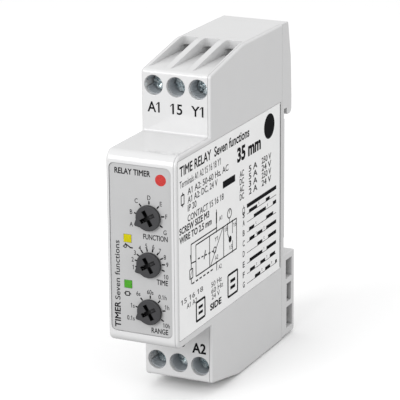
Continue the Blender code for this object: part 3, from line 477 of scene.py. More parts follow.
def combine(piece, shapes, operation):
    for shape in shapes:
        step = piece.modifiers.new(shape.name, "BOOLEAN")
        step.operation = operation
        step.solver = "EXACT"
        step.object = shape
        piece["tools"] = [*piece.get("tools", []), shape.name]


def cut(piece, *shapes):
    combine(piece, shapes, "DIFFERENCE")


def add(piece, *shapes):
    combine(piece, shapes, "UNION")


def drop_tools(piece):
    """Removes the shapes a piece was cut or joined with, and theirs in turn."""
    for name in piece.get("tools", []):
        shape = bpy.data.objects[name]
        drop_tools(shape)
        bpy.data.objects.remove(shape, do_unlink=True)
    if "tools" in piece:
        del piece["tools"]


def bake(piece):
    """Applies a piece's modifiers."""
    bpy.context.view_layer.update()
    graph = bpy.context.evaluated_depsgraph_get()
    mesh = bpy.data.meshes.new_from_object(piece.evaluated_get(graph))
    piece.modifiers.clear()
    piece.data = mesh


def settle(piece):
    """Finishes a piece's mesh: smooth rounding, flats left flat, its cutting shapes removed."""
    bake(piece)
    drop_tools(piece)
    piece.data.shade_smooth()
    piece.data.set_sharp_from_angle(angle=math.radians(32))
    even = piece.modifiers.new("even_normals", "WEIGHTED_NORMAL")
    even.keep_sharp = True
    bake(piece)
    return piece


def dress(piece, body, slot, finishes, *nodes):
    """Gives a settled piece its finish, its body and the CAD nodes it stands for."""
    piece.data.materials.clear()
    piece.data.materials.append(finishes[slot])
    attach(piece, body)
    if nodes:
        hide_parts(*nodes)
    return piece


def span(a, b):
    return min(a, b), max(a, b)


# ---------------------------------------------------------------- case

def case_form(name):
    corners = [
        (0, NOSE_BOTTOM, 2.0),
        (0, NOSE_TOP, 2.5),
        (SHOULDER_Y, NOSE_TOP, 0),
        (SHOULDER_Y, SHOULDER_TOP, 0.9),
        (SLOPE_END_TOP, HEIGHT, 8),
        (CASE_BACK_Y, HEIGHT, 0),
        (CASE_BACK_Y, 0, 0),
        (SLOPE_END_BOTTOM, 0, 8),
        (SHOULDER_Y, SHOULDER_BOTTOM, 0.9),
        (SHOULDER_Y, NOSE_BOTTOM, 0),
    ]
    form = slab(name, "yz", rounded(corners), 0, WIDTH)
    soften(form, EDGE_ROUND, segments=4)
    return form


def whole_case(name, left, right):
    """A cutter over the whole side view between two places across the width."""
    return block(name, (left, right), (-BEYOND, REAR_Y + BEYOND), (-BEYOND, HEIGHT + BEYOND))


def rear_form():
    """Rear strip with the rail hook above and the clip's foot below."""
    inside_case = CASE_BACK_Y - 2
    relief_y = RAIL_SEAT_Y - 0.3
    corners = [
        (inside_case, 0.4, 0),
        (REAR_Y, 0.4, 0.5),
        (REAR_Y, FOOT_TOP, 0.5),
        (relief_y, FOOT_TOP, 0),
        (relief_y, 26.5, 0),
        (RAIL_SEAT_Y, 26.5, 0),
        (RAIL_SEAT_Y, 57.0, 0),
        (relief_y, 57.0, 0),
        (relief_y, 59.4, 0),
        (62.5, 59.4, 0),
        (62.5, 57.7, 0.4),
        (HOOK_TAPER[0][0], 57.7, 1.3),
        *((y, z, 3) for y, z in HOOK_TAPER[:-1]),
        (*HOOK_TAPER[-1], 0.6),
        (inside_case, HOOK_TAPER[-1][1], 0),
    ]
    form = slab("rear_form", "yz", rounded(corners), STRIP_INSET, WIDTH - STRIP_INSET)
    soften(form, 0.3, segments=3)
    beside_cover = (COVER_INSIDE_X - SEAM, WIDTH + BEYOND)
    cut(form, block("cover_edge", beside_cover, (0, CASE_BACK_Y + SEAM), (-BEYOND, HEIGHT + BEYOND)))
    return form


def case_room():
    step_y = SHOULDER_Y + 1
    corners = [
        (1.6, NOSE_FLOOR, 1.0),
        (1.6, NOSE_CEILING, 1.0),
        (step_y, NOSE_CEILING, 0),
        (step_y, 76.6, 0),
        (41.1, 76.6, 0),
        (41.1, 79.8, 0),
        (58.3, 79.8, 0),
        (58.3, 1.2, 0),
        (41.1, 1.2, 0),
        (41.1, 4.4, 0),
        (step_y, 4.4, 0),
        (step_y, NOSE_FLOOR, 0),
    ]
    return slab("case_room", "yz", rounded(corners), 0.9, WIDTH + BEYOND)


def terminal_heights(upper, low, high):
    """Heights given for the upper terminals, mirrored when they are for the lower ones."""
    return (low, high) if upper else (HEIGHT - high, HEIGHT - low)


def scoop(x, upper):
    """The open trough that leads a wire over a shoulder to its hole."""
    left, right, front = x - SCOOP_HALF_WIDTH, x + SCOOP_HALF_WIDTH, SHOULDER_Y - BEYOND
    corners = [(left, front, 0), (right, front, 0), (right, SCOOP_BACK_Y, 0.8), (left, SCOOP_BACK_Y, 0.8)]
    low, high = terminal_heights(upper, SCOOP_FLOOR, HEIGHT + BEYOND)
    return slab("scoop", "xy", rounded(corners), low, high)


def terminal_openings(screw, upper):
    centre = middle_mm(screw)
    x, z = centre.x, centre.z
    yield rod("access", "y", (x, SHOULDER_Y - BEYOND, z), 3, ACCESS_RADIUS)
    yield rod("access_chamfer", "y", (x, SHOULDER_Y - 0.5, z), 0.6, ACCESS_RADIUS + 0.6, ACCESS_RADIUS)
    yield scoop(x, upper)
    half = WIRE_HALF_WIDTH
    low, high = terminal_heights(upper, 75.0, 78.9)
    yield slab("wire_hole", "xy", panel((x - half, x + half), WIRE_Y, 0.9), low, high)


def nose_holes(y, shaft_gap, window_gap):
    for node in KNOB_NODES:
        start = (KNOB_X, y[0], knob_z(node))
        yield rod("shaft_hole", "y", start, y[1] - y[0], KNOB_SHAFT_RADIUS + shaft_gap)
    for node in WINDOW_NODES:
        low, high = box_mm(node)
        x, z = (low.x + high.x) / 2, (low.z + high.z) / 2
        across, up = WINDOW_HALF[0] + window_gap, WINDOW_HALF[1] + window_gap
        yield block("window_hole", (x - across, x + across), y, (z - up, z + up))


def joint(name):
    return next(entry for entry in frame["joints"] if entry["name"] == name)


def joint_place(name):
    """A hinge's point, in the millimetre measure used here."""
    return (Vector(joint(name)["pos_m"]) - CORNER) / MM


def knob_z(node):
    return joint_place(node + "_turn").z


KNOB_X = joint_place("function_knob_turn").x


def housing_shell(finishes):
    shell = case_form("shell_moulding")
    cut(shell, whole_case("cover_side", COVER_INSIDE_X - SEAM, WIDTH + BEYOND))
    add(shell, rear_form())
    label_low, label_high = box_mm("front_label")
    gap = 0.1
    recess = panel((label_low.x - gap, label_high.x + gap), (label_low.z - gap, label_high.z + gap), 1.3)
    cut(shell, case_room(), slab("label_recess", "xz", recess, -BEYOND, label_high.y + gap))
    cut(shell, *nose_holes((-BEYOND, 2.6), 0.35, 0.15))
    for row, tags in TERMINAL_ROWS.items():
        for tag in tags:
            cut(shell, *terminal_openings(f"terminal_screw_{tag}", row == "upper"))
    middle = WIDTH / 2
    channel_y = (CLIP_Y[0] - 0.2, CLIP_Y[1] + 0.2)
    cut(shell, block("clip_channel", (middle - 4.1, middle + 4.1), channel_y, (-BEYOND, FOOT_TOP + BEYOND)))
    for y, z in POCKETS:
        cut(shell, block("foot_pocket", (WIDTH - POCKET_DEPTH, WIDTH + BEYOND), y, z))
        cut(shell, block("foot_pocket", (-BEYOND, POCKET_DEPTH), y, z))
    cut(shell, block("tool_notch", (middle - 3, middle + 3), (CLIP_Y[1], REAR_Y + BEYOND), (-BEYOND, 5.5)))
    ledge_y = (CLIP_Y[0] - 0.5, CLIP_Y[1] + 0.5)
    add(shell, block("spring_ledge", (middle - 1.6, middle + 1.6), ledge_y, (8.0, 9.2)))
    dress(settle(shell), "housing", "case_plastic", finishes, "housing_shell")


def side_cover(finishes):
    cover = case_form("cover_moulding")
    cut(cover, whole_case("shell_side", -BEYOND, COVER_INSIDE_X))
    low, high = box_mm("side_label")
    recess_y, recess_z = (low.y - 0.1, high.y + 0.3), (low.z - 0.1, high.z + 0.1)
    cut(cover, block("side_recess", (low.x - 0.08, WIDTH + BEYOND), recess_y, recess_z))
    cut(cover, block("side_groove", (17.1, WIDTH + BEYOND), (high.y + 0.02, high.y + 0.35), recess_z))
    for y, wall_z, inward in (
        ((7, 11), NOSE_CEILING, -1),
        ((7, 11), NOSE_FLOOR, 1),
        ((46, 51), 79.8, -1),
        ((46, 51), 1.2, 1),
    ):
        start = wall_z + inward * 0.15
        add(cover, block("snap_tongue", (14.4, COVER_INSIDE_X + 0.3), y, span(start, start + inward * 0.7)))
    dress(settle(cover), "housing", "case_plastic", finishes, "side_cover")


def front_label(finishes):
    low, high = box_mm("front_label")
    plate = slab("front_label_plate", "xz", panel((low.x, high.x), (low.z, high.z), 1.2), low.y, high.y)
    soften(plate, 0.06, 2)
    cut(plate, *nose_holes((-BEYOND, 2), 0.35, 0.06))
    dress(settle(plate), "housing", "front_label_film", finishes, "front_label")


def side_label(finishes):
    low, high = box_mm("side_label")
    plate = slab("side_label_plate", "yz", panel((low.y, high.y), (low.z, high.z), 0.3), low.x, high.x)
    soften(plate, 0.03, 2)
    dress(settle(plate), "housing", "side_label_film", finishes, "side_label")


# ---------------------------------------------------------------- controls and screws

def knob(node, finishes):
    """Disc with a small pointer and a cross recess for a screwdriver."""
    z = knob_z(node)
    low, _ = box_mm(node)
    front, back = low.y, low.y + 1.0
    radius, tip, spread = 2.97, 3.8, 20
    sweep = 360 - 2 * spread
    rim = [spoke(KNOB_REST_DEG + spread + sweep * k / 72) * radius for k in range(73)]
    pointer = [spoke(KNOB_REST_DEG + turn) * tip for turn in (-3, 3)]
    outline = [Vector((KNOB_X, z)) + point for point in (*rim, *pointer)]
    head = slab(node + "_head", "xz", outline, front, back)
    soften(head, 0.22, 3)
    add(head, rod("shaft", "y", (KNOB_X, back - 0.4, z), 6.4, KNOB_SHAFT_RADIUS))
    # the cross: three deep arms, and a shallower and narrower one opposite the pointer
    reach, w = 1.95, 0.5
    tee = [(w, -w), (reach, -w), (reach, w), (w, w), (w, reach), (-w, reach), (-w, -reach), (w, -reach)]
    arm = [(-reach, -w * 0.9), (0, -w * 0.9), (0, w * 0.9), (-reach, w * 0.9)]
    for name, recess, depth in (("driver_tee", tee, 1.3), ("driver_arm", arm, 0.35)):
        place = aimed(KNOB_X, z, KNOB_REST_DEG, recess)
        cut(head, slab(name, "xz", place, front - BEYOND, front + depth))
    dress(settle(head), node, "knob_plastic", finishes, node)


def aimed(x, z, degrees, outline):
    """An outline given along and across a direction, set out from the point x, z."""
    along = spoke(degrees)
    across = Vector((-along.y, along.x))
    return [Vector((x, z)) + along * u + across * v for u, v in outline]


def spoke(degrees):
    a = math.radians(degrees)
    return Vector((math.cos(a), math.sin(a)))


def window(node, finishes):
    low, high = box_mm(node)
    x, z = (low.x + high.x) / 2, (low.z + high.z) / 2
    across, up = WINDOW_HALF
    bar = block(node + "_guide", (x - across, x + across), (low.y, high.y), (z - up, z + up))
    soften(bar, 0.12, 3)
    collar = block("collar", (low.x, high.x), (1.7, 2.4), (low.z, high.z))
    add(bar, collar)
    dress(settle(bar), "housing", node.split("_")[0] + "_lens", finishes, node)


def screw(node, finishes, turn_deg):
    """Clamp screw: a domed head with a wide slot and a smaller cross recess, and a threaded shank."""
    low, high = box_mm(node)
    x, z = (low.x + high.x) / 2, (low.z + high.z) / 2
    head = rod(node + "_turned", "y", (x, low.y, z), 2.0, 2.1)
    soften(head, 0.35, 4)
    add(head, threaded_shank(x, low.y + 1.7, high.y, z))
    depth = (low.y - BEYOND, low.y + 0.9)
    for half_length, half_width, turn in ((3.0, 0.33, 0), (1.35, 0.42, 0), (1.35, 0.42, 90)):
        slot = block("recess", (x - half_length, x + half_length), depth, (z - half_width, z + half_width))
        slot.rotation_euler = (0, math.radians(turn_deg + turn), 0)
        cut(head, slot)
    dress(settle(head), node, "plated_steel", finishes, node)


def threaded_shank(x, start, end, z):
    """A turned shank whose ridges stand for the thread."""
    pitch, crest, root = 0.5, 1.45, 1.2
    bm = bmesh.new()
    profile = [(0, 0), (crest, 0), (crest, 1.0)]
    y = 1.0
    while y + pitch < end - start:
        profile += [(root, y + pitch * 0.45), (crest, y + pitch)]
        y += pitch
    profile += [(root, end - start), (0, end - start)]
    segments = 32
    rings = []
    for radius, height in profile:
        if radius == 0:
            rings.append([bm.verts.new((0, height * MM, 0))])
            continue
        angles = (2 * math.pi * k / segments for k in range(segments))
        circle = (Vector((radius * math.cos(a), height, radius * math.sin(a))) for a in angles)
        rings.append([bm.verts.new(point * MM) for point in circle])
    for a, b in zip(rings, rings[1:]):
        for k in range(segments):
            n = (k + 1) % segments
            corners = [a[k % len(a)], b[k % len(b)], b[n % len(b)], a[n % len(a)]]
            bm.faces.new(list(dict.fromkeys(corners)))
    bmesh.ops.recalc_face_normals(bm, faces=bm.faces)
    return wrap("shank", bm, at(x, start, z))


def clip_spring(finishes):
    """The rail clip's coil, smoothed. It keeps its CAD length and does not shorten onto the shell's ledge as the
    clip slides down.
    """
    coil = bpy.data.objects.new("clip_spring_coil", frame["nodes"]["clip_spring"].data.copy())
    bpy.context.scene.collection.objects.link(coil)
    rounding = coil.modifiers.new("round_wire", "SUBSURF")
    rounding.levels = rounding.render_levels = 1
    dress(settle(coil), "housing", "spring_steel", finishes, "clip_spring")
    travel = max(joint("rail_clip_slide")["range_m"])
    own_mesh(coil)


# ---------------------------------------------------------------- printing

INK_MM = 0.02
INK_BED_MM = 0.01
INK_HALF_MM = (INK_MM + INK_BED_MM) / 2


class Print:
    """Flat ink shapes on one face of the case, gathered into one mesh."""

    def __init__(self, name, origin, right, up):
        self.name = name
        self.origin, self.right, self.up = origin, Vector(right), Vector(up)
        self.out = self.right.cross(self.up)
        self.bm = bmesh.new()

    def place(self, u, v, height=0.0):
        return self.origin + (self.right * u + self.up * v + self.out * height) * MM

    def polygon(self, points):
        """One closed ink shape as a thin prism, bedded a little into the face."""
        low = [self.bm.verts.new(self.place(u, v, -INK_BED_MM)) for u, v in points]
        top = [self.bm.verts.new(self.place(u, v, INK_MM)) for u, v in points]
        faces = [self.bm.faces.new(low), self.bm.faces.new(top)]
        for k in range(len(points)):
            n = (k + 1) % len(points)
            faces.append(self.bm.faces.new((low[k], low[n], top[n], top[k])))
        bmesh.ops.recalc_face_normals(self.bm, faces=faces)

    def line(self, start, end, width):
        a, b = Vector(start), Vector(end)
        side = (b - a).orthogonal().normalized() * (width / 2)
        self.polygon([a - side, b - side, b + side, a + side])

    def path(self, points, width, closed=False):
        ends = list(zip(points, points[1:]))
        if closed:
            ends.append((points[-1], points[0]))
        for a, b in ends:
            self.line(a, b, width)

    def box(self, u, v):
        self.polygon([(u[0], v[0]), (u[1], v[0]), (u[1], v[1]), (u[0], v[1])])

    def frame(self, u, v, width):
        self.path([(u[0], v[0]), (u[1], v[0]), (u[1], v[1]), (u[0], v[1])], width, closed=True)

    def disc(self, u, v, radius, squash=1.0, segments=32):
        angles = (2 * math.pi * k / segments for k in range(segments))
        self.polygon([(u + radius * squash * math.cos(a), v + radius * math.sin(a)) for a in angles])

    def ring(self, u, v, radius, width, segments=28):
        angles = (2 * math.pi * k / segments for k in range(segments))
        points = [(u + radius * math.cos(a), v + radius * math.sin(a)) for a in angles]
        self.path(points, width, closed=True)

    def words(self, text, u, v, cap, width=None, align="LEFT", weight=0.0, turn=0.0, narrow=1.0):
        """Lettering with its baseline at v. cap is the capital height and width the line's length.

        Without a length the letters keep their own width times narrow.
        """
        mesh = letters(text, cap, weight)
        add_flags(mesh, text, cap, weight)
        across = [vertex.co.x for vertex in mesh.vertices]
        left, length = min(across), max(across) - min(across)
        stretch = width * MM / length if width else narrow
        shift = {"LEFT": 0.0, "CENTER": -length * stretch / 2, "RIGHT": -length * stretch}[align]
        axes = Matrix((self.right, self.up, self.out)).transposed().to_4x4()
        local = (
            Matrix.Rotation(math.radians(turn), 4, "Z")
            @ Matrix.Translation((shift, 0, (INK_MM - INK_BED_MM) / 2 * MM))
            @ Matrix.Diagonal((stretch, 1, 1, 1))
            @ Matrix.Translation((-left, 0, 0))
        )
        mesh.transform(Matrix.Translation(self.place(u, v)) @ axes @ local)
        self.bm.from_mesh(mesh)
        bpy.data.meshes.remove(mesh)

    def done(self, finish):
        piece = wrap(self.name, self.bm, (0, 0, 0))
        piece.data.materials.append(finish)
        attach(piece, "housing")
        return piece


def letters(text, cap, weight=0.0):
    """The built-in font's letters as a thin mesh on its baseline, thickened by weight times cap."""
    curve = bpy.data.curves.new("lettering", "FONT")
    curve.body = text
    curve.size = cap / CAP_SHARE * MM
    curve.extrude = INK_HALF_MM * MM
    curve.resolution_u = 3
    holder = bpy.data.objects.new("lettering", curve)
    bpy.context.scene.collection.objects.link(holder)
    bpy.context.view_layer.update()
    graph = bpy.context.evaluated_depsgraph_get()
    mesh = bpy.data.meshes.new_from_object(holder.evaluated_get(graph))
    bpy.data.objects.remove(holder, do_unlink=True)
    welded = bmesh.new()
    welded.from_mesh(mesh)
    bmesh.ops.remove_doubles(welded, verts=welded.verts, dist=1e-7)
    thicken_strokes(welded, weight * cap * MM)
    welded.to_mesh(mesh)
    welded.free()
    return mesh


def thicken_strokes(bm, distance):
    """Moves every outline point outwards, so that the edges that meet there move by distance.

    A sharp corner moves at most twice as far.
    """
    bm.normal_update()
    steps = []
    for vertex in bm.verts:
        sides = [face.normal for face in vertex.link_faces if abs(face.normal.z) < 0.5]
        outward = sum(sides, Vector()).normalized()
        steps.append(outward * distance / max(0.5, outward.dot(sides[0])))
    for vertex, step in zip(bm.verts, steps):
        vertex.co += step


def ends_of(mesh):
    """Where a line of letters starts and ends. The letters are then dropped."""
    across = [vertex.co.x for vertex in mesh.vertices]
    bpy.data.meshes.remove(mesh)
    return min(across), max(across)


def add_flags(mesh, text, cap, weight):
    """Gives each figure one, a bare bar in the built-in font, its flag."""
    if "1" not in text:
        return
    bar_left, bar_right = ends_of(letters("1", cap, weight))
    bm = bmesh.new()
    bm.from_mesh(mesh)
    top = (1 + weight) * cap * MM
    half = INK_HALF_MM * MM
    length, stroke = 0.24 * cap * MM, 0.13 * cap * MM
    for k, letter in enumerate(text):
        if letter != "1":
            continue
        left = ends_of(letters(text[: k + 1], cap, weight))[1] - (bar_right - bar_left)
        tip, tip_top = left - length, top - length
        outline = [(left, top), (left, top - stroke), (tip, tip_top - stroke * 0.8), (tip, tip_top)]
        low = [bm.verts.new((x, y, -half)) for x, y in outline]
        high = [bm.verts.new((x, y, half)) for x, y in outline]
        faces = [bm.faces.new(low), bm.faces.new(high)]
        for i in range(4):
            j = (i + 1) % 4
            faces.append(bm.faces.new((low[i], low[j], high[j], high[i])))
        bmesh.ops.recalc_face_normals(bm, faces=faces)
    bm.to_mesh(mesh)
    bm.free()


def capital_share():
    """The built-in font's capital height as a share of its size."""
    curve = bpy.data.curves.new("measure", "FONT")
    curve.body = "H"
    curve.size = 1.0
    holder = bpy.data.objects.new("measure", curve)
    bpy.context.scene.collection.objects.link(holder)
    bpy.context.view_layer.update()
    share = holder.dimensions.y
    bpy.data.objects.remove(holder, do_unlink=True)
    return share


CAP_SHARE = capital_share()


def dial(sheet, z, marks, labels, label_radius, moved):
    """Tick marks round a knob with a label outside each.

    moved gives the labels that stand off their mark a direction and radius of their own.
    """
    cap = 1.05
    tick_start, tick_end, tick_width = 3.05, 3.85, 0.34
    centre = Vector((KNOB_X, z))
    for mark, label in zip(marks, labels):
        direction = spoke(mark)
        sheet.line(centre + direction * tick_start, centre + direction * tick_end, tick_width)
        angle, radius = moved.get(label, (mark, label_radius))
        place = centre + spoke(angle) * radius
        sheet.words(label, place.x, place.y - cap / 2, cap, align="CENTER", weight=0.01, narrow=0.8)


def front_printing():
    low, _ = box_mm("front_label")
    sheet = Print("front_print", at(0, low.y, 0), (1, 0, 0), (0, 0, 1))
    function_z, time_z, range_z = (knob_z(node) for node in KNOB_NODES)
    seven = (210, 170, 130, 90, 50, 10, -30)
    ten = [195 - 23.5 * k for k in range(10)]
    moved = {"A": (205, 5.0), "C": (132, 4.8), "F": (9.5, 4.35), "G": (-38, 4.95)}
    dial(sheet, function_z, seven, "ABCDEFG", 4.6, moved)
    dial(sheet, time_z, ten, [str(k) for k in range(1, 11)], 4.4, {"10": (-31, 4.7)})
    spans = ("0.1s", "1s", "6s", "60s", "0.1h", "1h", "10h")
    moved = {"0.1s": (204.3, 5.5), "6s": (128, 4.9), "0.1h": (51, 4.9), "1h": (20, 4.45), "10h": (-36, 4.9)}
    dial(sheet, range_z, seven, spans, 4.6, moved)
    for word, right, z, length in (
        ("FUNCTION", 15.2, function_z - 5.2, 6.1),
        ("TIME", 15.15, time_z - 4.5, 2.85),
        ("RANGE", 15.05, range_z - 5.05, 4.2),
    ):
        sheet.words(word, right, z, 1.2, width=length, align="RIGHT", weight=0.025)
    sheet.words("RELAY TIMER", 2.1, 57.9, 1.3, width=9.0, weight=0.035)
    sheet.words("TIMER", 3.0, 21.15, 1.4, width=6.2, weight=0.035, turn=90)
    sheet.words("Seven functions", 3.0, 27.8, 1.25, width=14.2, weight=0.01, turn=90)
    for node in WINDOW_NODES:
        centre = middle_mm(node)
        x, z = centre.x, centre.z
        if node.startswith("yellow"):
            contact_symbol(sheet, x, z - 2.3)
        else:
            coil_symbol(sheet, x - 0.2, z - 2.3, 0.5, 0.45, 0.24)
    return sheet


def contact_symbol(sheet, x, z):
    """A make contact whose arm swings past a small timing loop."""
    sheet.ring(x - 0.6, z + 0.35, 0.32, 0.2)
    sheet.line((x - 1.2, z + 0.3), (x - 0.9, z + 0.3), 0.22)
    sheet.line((x - 0.65, z + 1.0), (x + 0.7, z + 0.2), 0.28)
    sheet.line((x + 0.5, z + 0.2), (x + 1.3, z + 0.15), 0.3)


def coil_symbol(sheet, u, v, half_width, half_height, width, upright=False):
    """A relay coil: a box with its two leads, which run up and down when upright."""
    sheet.frame((u - half_width, u + half_width), (v - half_height, v + half_height), width)
    for side in (-1, 1):
        if upright:
            sheet.line((u, v + side * half_height), (u, v + side * (half_height + 0.6)), width)
        else:
            sheet.line((u + side * half_width, v), (u + side * (half_width + 0.4), v), width)


def terminal_printing(finish):
    """Terminal marks, each set a little off its screw's centre."""
    off_centre = {"15": 0.15, "y1": -0.15, "a2": -0.2}
    for row, tags in TERMINAL_ROWS.items():
        sheet = Print(f"{row}_terminal_print", at(0, SHOULDER_Y, 0), (1, 0, 0), (0, 0, 1))
        for tag in tags:
            x = middle_mm(f"terminal_screw_{tag}").x + off_centre.get(tag, 0.0)
            base, width, weight = (67.7, 3.1, 0.025) if row == "upper" else (11.3, 3.6, 0.045)
            if tag == "a2":
                base = 10.3
            sheet.words(tag.upper(), x, base, 2.35, align="CENTER", width=width, weight=weight)
        sheet.done(finish)


def side_printing():
    """The side label's printing: ratings, a wiring diagram and a chart of the timing functions."""
    _, high = box_mm("side_label")
    sheet = Print("side_print", at(high.x, 0, 0), (0, 1, 0), (0, 0, 1))
    sheet.words("TIME RELAY  Seven functions", 1.9, 58.1, 2.2, width=37.6, weight=0.03)
    sheet.words("Terminals A1 A2 15 16 18 Y1", 1.9, 55.4, 1.6, width=21.5)
    rating_lines(sheet)
    general_marks(sheet)
    wiring_diagram(sheet)
    timing_chart(sheet)
    sheet.line((57.72, 19.9), (57.72, 61.4), 0.22)
    return sheet


def rating_lines(sheet):
    coil_symbol(sheet, 3.3, 52.5, 0.75, 1.1, 0.32, upright=True)
    for text, y, z, length in (
        ("A1 A2: 50-60 Hz, AC", 5.9, 52.9, 21.8),
        ("A1 A2: DC, 24 V", 5.9, 50.9, 15.8),
        ("IP 20", 5.9, 49.0, 4.5),
        ("CONTACT 15 16 18", 5.8, 46.6, 19.2),
    ):
        sheet.words(text, y, z, 1.5, width=length, weight=0.01)
    sheet.words("SCREW SIZE M3", 1.5, 44.6, 1.5, width=15.6, weight=0.035)
    sheet.words("WIRE TO 2.5 mm", 1.5, 42.5, 1.5, width=16.9, weight=0.035)
    for k, (kind, current, volts) in enumerate(
        (("AC", "5 A", "250 V"), ("DC", "5 A", "24 V"), ("AC", "3 A", "250 V"), ("DC", "2 A", "24 V"))
    ):
        z = 49.3 - 1.88 * k
        sheet.words(kind, 34.0, z, 1.45, width=2.4, weight=0.02)
        sheet.words(current, 39.2, z, 1.45, width=4.9, weight=0.02)
        sheet.words(volts, 52.3, z, 1.45, width=5.6, align="RIGHT", weight=0.02)


def general_marks(sheet):
    """Plain shapes and general notes in the label's free places."""
    sheet.disc(51.2, 57.6, 3.1)
    sheet.words("35 mm", 32.6, 53.4, 3.2, width=13.6, weight=0.06)
    sheet.box((24.6, 31.4), (49.2, 50.9))
    for text, y, z, length in (
        ("15 16 18", 1.9, 27.8, 11.6),
        ("A1 A2", 4.9, 26.1, 5.4),
        ("50 Hz", 18.0, 27.1, 5.7),
        ("60 Hz", 18.0, 25.5, 6.4),
        ("24 V", 18.2, 24.0, 4.4),
    ):
        sheet.words(text, y, z, 1.2, width=length)
    for y, z, half in ((29.9, 24.4, 2.7), (12.2, 23.7, 2.3)):
        sheet.frame((y - half, y + half), (z - half, z + half), 0.55)
        sheet.box((y - half * 0.5, y + half * 0.5), (z + half * 0.15, z + half * 0.45))
        sheet.box((y - half * 0.5, y + half * 0.5), (z - half * 0.45, z - half * 0.15))
    sheet.words("SIDE", 17.3, 21.6, 1.5, width=6.2, weight=0.05)


def wiring_diagram(sheet):
    """Supply and control input on the left, the timed changeover contact on the right."""
    thin = 0.3
    low, high = 32.4, 39.9
    sheet.frame((9.9, 32.1), (low, high), thin)
    sheet.path([(7.4, 36.4), (7.4, 40.8), (21.0, 40.8)], thin)
    for y in (17.2, 24.9):
        sheet.line((y, low), (y, high), thin)
    sheet.line((17.6, low), (24.5, high), 0.24)
    sheet.line((21.0, high), (21.0, 45.2), 0.28)
    sheet.line((21.0, 41.9), (21.0, 44.6), 0.55)
    sheet.line((21.0, 30.4), (21.0, low), 0.28)
    # control switch in series with a load, down to the dashed return line
    sheet.path([(7.4, 36.4), (7.0, 38.4)], thin)
    sheet.line((7.4, 36.4), (7.4, 34.9), thin)
    sheet.frame((6.6, 8.2), (32.7, 34.9), thin)
    sheet.line((6.9, 33.0), (7.9, 34.6), 0.16)
    sheet.line((7.4, 36.3), (9.8, 36.1), thin)
    sheet.line((7.4, 31.3), (7.4, 32.7), thin)
    dashes(sheet, (7.8, 31.3), (19.6, 31.3), 6, 0.36)
    # timed changeover contact
    dashes(sheet, (10.9, 36.3), (20.3, 35.6), 5, 0.32)
    sheet.line((14.2, 35.2), (15.0, 37.2), 0.4)
    sheet.ring(20.0, 35.7, 0.7, 0.25)
    sheet.path([(27.1, high), (27.1, 37.5), (28.6, 35.0)], 0.24)
    sheet.line((29.8, high), (29.8, 36.9), 0.24)
    sheet.line((29.8, low), (29.8, 35.1), 0.24)
    sheet.disc(28.5, 35.8, 0.8)
    sheet.line((28.2, 41.0), (28.2, 40.0), 0.2)
    sheet.ring(28.2, 42.2, 1.1, 0.28)
    sheet.line((28.2, 42.2), (28.2, 43.0), 0.2)
    for y, z in ((21.0, 40.8), (21.0, high), (27.1, high), (29.8, high), (21.0, low), (29.8, low)):
        sheet.disc(y, z, 0.28, segments=12)
    for text, y, z in (
        ("A1", 22.4, 42.0),
        ("Y1", 20.0, 37.6),
        ("18", 25.4, 38.4),
        ("16", 30.3, 38.2),
        ("A2", 20.1, 33.1),
        ("15", 28.0, 33.2),
        ("A2", 22.0, 30.3),
    ):
        sheet.words(text, y, z, 1.05, width=1.7)


def dashes(sheet, start, end, count, width):
    a, b = Vector(start), Vector(end)
    for k in range(count):
        sheet.line(a.lerp(b, k / count), a.lerp(b, (k + 0.6) / count), width)


def timing_chart(sheet):
    """When the supply, the start input and the contact are on, row by row for each function."""
    left, right, half = 38.1, 55.4, 0.42
    coil_symbol(sheet, 36.2, 40.5, 0.55, 0.75, 0.2, upright=True)
    sheet.box((left, right), (40.65, 41.65))
    rows = (
        ("S", 39.6, ((39.3, 44.0), (49.2, 51.5))),
        ("A", 37.6, ((42.1, 49.2), (53.4, right))),
        ("B", 35.1, ((39.3, 42.3), (49.4, 53.6))),
        ("C", 32.5, ((39.5, 42.5), (44.0, 47.1), (49.4, right))),
        ("D", 29.9, ((44.2, 47.1), (50.5, right))),
        ("E", 27.2, ((39.6, 47.1), (49.6, right))),
        ("F", 24.6, ((39.8, 42.7), (45.9, 48.8), (51.6, 54.8))),
        ("G", 22.1, ((42.7, 45.9), (48.8, 51.8), (54.9, 55.9))),
    )
    for letter, z, spans in rows:
        sheet.words(letter, 36.2, z - 0.8, 1.4, width=1.1, align="CENTER", weight=0.02)
        sheet.line((left, z - half), (right, z - half), 0.14)
        for start, end in spans:
            sheet.box((start, end), (z - half, z + half))
        for start, end in spans[:-1]:
            sheet.words("t", end + 1.0, z + 0.1, 0.9, align="CENTER")


# ---------------------------------------------------------------- studio

def floor_paper():
    """Pale paper that looks bright but throws little light back up at the timer."""
    f = Finish("floor_paper")
    seen = f.add("ShaderNodeLightPath").outputs["Is Camera Ray"]
    f.link(f.tint(seen, (0.45, 0.45, 0.45), (0.93, 0.93, 0.93)), f.shader.inputs["Base Color"])
    f.link(f.spread(f.noise(0.5), 0.85, 0.95), f.shader.inputs["Roughness"])
    return f.material


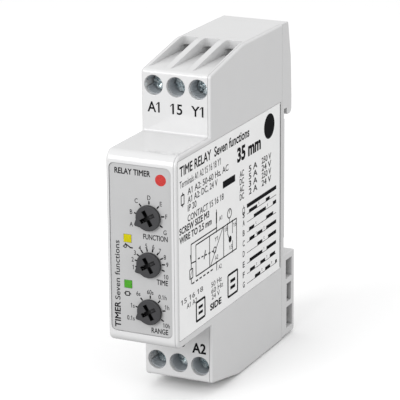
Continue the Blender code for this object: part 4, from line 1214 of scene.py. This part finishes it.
def studio():
    scene = bpy.context.scene
    low, high = CAD_BOUNDS
    bm = bmesh.new()
    bmesh.ops.create_grid(bm, x_segments=2, y_segments=2, size=4.0)
    floor = wrap("floor", bm, (0, 0, low[2] - 0.0002))
    floor.data.materials.append(floor_paper())
    world = bpy.data.worlds.new("studio_air")
    world.use_nodes = True
    air = world.node_tree.nodes["Background"]
    air.inputs["Color"].default_value = (1, 1, 1, 1)
    air.inputs["Strength"].default_value = 0.9
    scene.world = world
    centre = Vector([(a + b) / 2 for a, b in zip(low, high)])
    for name, direction, distance, size, watts in (
        ("key_light", (-0.2, -0.85, 0.4), 0.9, 0.6, 5.2),
        ("fill_light", (0.9, -0.15, 0.25), 0.9, 0.7, 2.6),
        ("top_light", (0.0, 0.3, 1.0), 0.9, 0.8, 0.4),
    ):
        light = bpy.data.lights.new(name, "AREA")
        light.size = size
        light.energy = watts
        lamp = bpy.data.objects.new(name, light)
        lamp.location = centre + Vector(direction).normalized() * distance
        lamp.rotation_euler = (centre - lamp.location).to_track_quat("-Z", "Y").to_euler()
        scene.collection.objects.link(lamp)
    scene.view_settings.view_transform = "Standard"
    scene.view_settings.look = "None"
    scene.view_settings.exposure = 0.0


def camera():
    """A long lens at the right of the nose, looking slightly down."""
    low, high = CAD_BOUNDS
    centre = (Vector(low) + Vector(high)) / 2
    aim = centre + Vector((-1.30, 0.16, 2.28)) * MM
    azimuth, elevation, roll = math.radians(25.56), math.radians(17.145), math.radians(-0.447)
    away = Vector((math.sin(azimuth), -math.cos(azimuth), math.tan(elevation))).normalized()
    distance = 0.5465
    eye = bpy.data.cameras.new("camera")
    eye.sensor_width = 36
    eye.lens = 207.28
    eye.clip_end = 10
    view = bpy.data.objects.new("camera", eye)
    turn = (-away).to_track_quat("-Z", "Y").to_matrix().to_4x4() @ Matrix.Rotation(roll, 4, "Z")
    view.matrix_world = Matrix.Translation(aim + away * distance) @ turn
    bpy.context.scene.collection.objects.link(view)
    bpy.context.scene.camera = view


# ---------------------------------------------------------------- whole timer

def dress_cad_nodes(finishes):
    slots = {entry["node"]: entry["material_slot"] for entry in frame["record"]["subparts"]}
    for name, node in frame["nodes"].items():
        node.data.materials.clear()
        node.data.materials.append(finishes[slots[name]])


def build():
    finishes = make_finishes()
    dress_cad_nodes(finishes)
    housing_shell(finishes)
    side_cover(finishes)
    front_label(finishes)
    side_label(finishes)
    for node in KNOB_NODES:
        knob(node, finishes)
    for node in WINDOW_NODES:
        window(node, finishes)
    for k, node in enumerate(SCREW_NODES):
        screw(node, finishes, 25 + 47 * k)
    clip_spring(finishes)
    black = ink("black_ink", (0.008, 0.008, 0.009))
    sheet = front_printing()
    sheet.done(black)
    mark = Print("front_mark", sheet.origin, sheet.right, sheet.up)
    mark.disc(13.6, 57.4, 1.35)
    mark.done(ink("red_ink", (0.38, 0.04, 0.037)))
    terminal_printing(black)
    side_printing().done(black)
    studio()
    camera()


build()
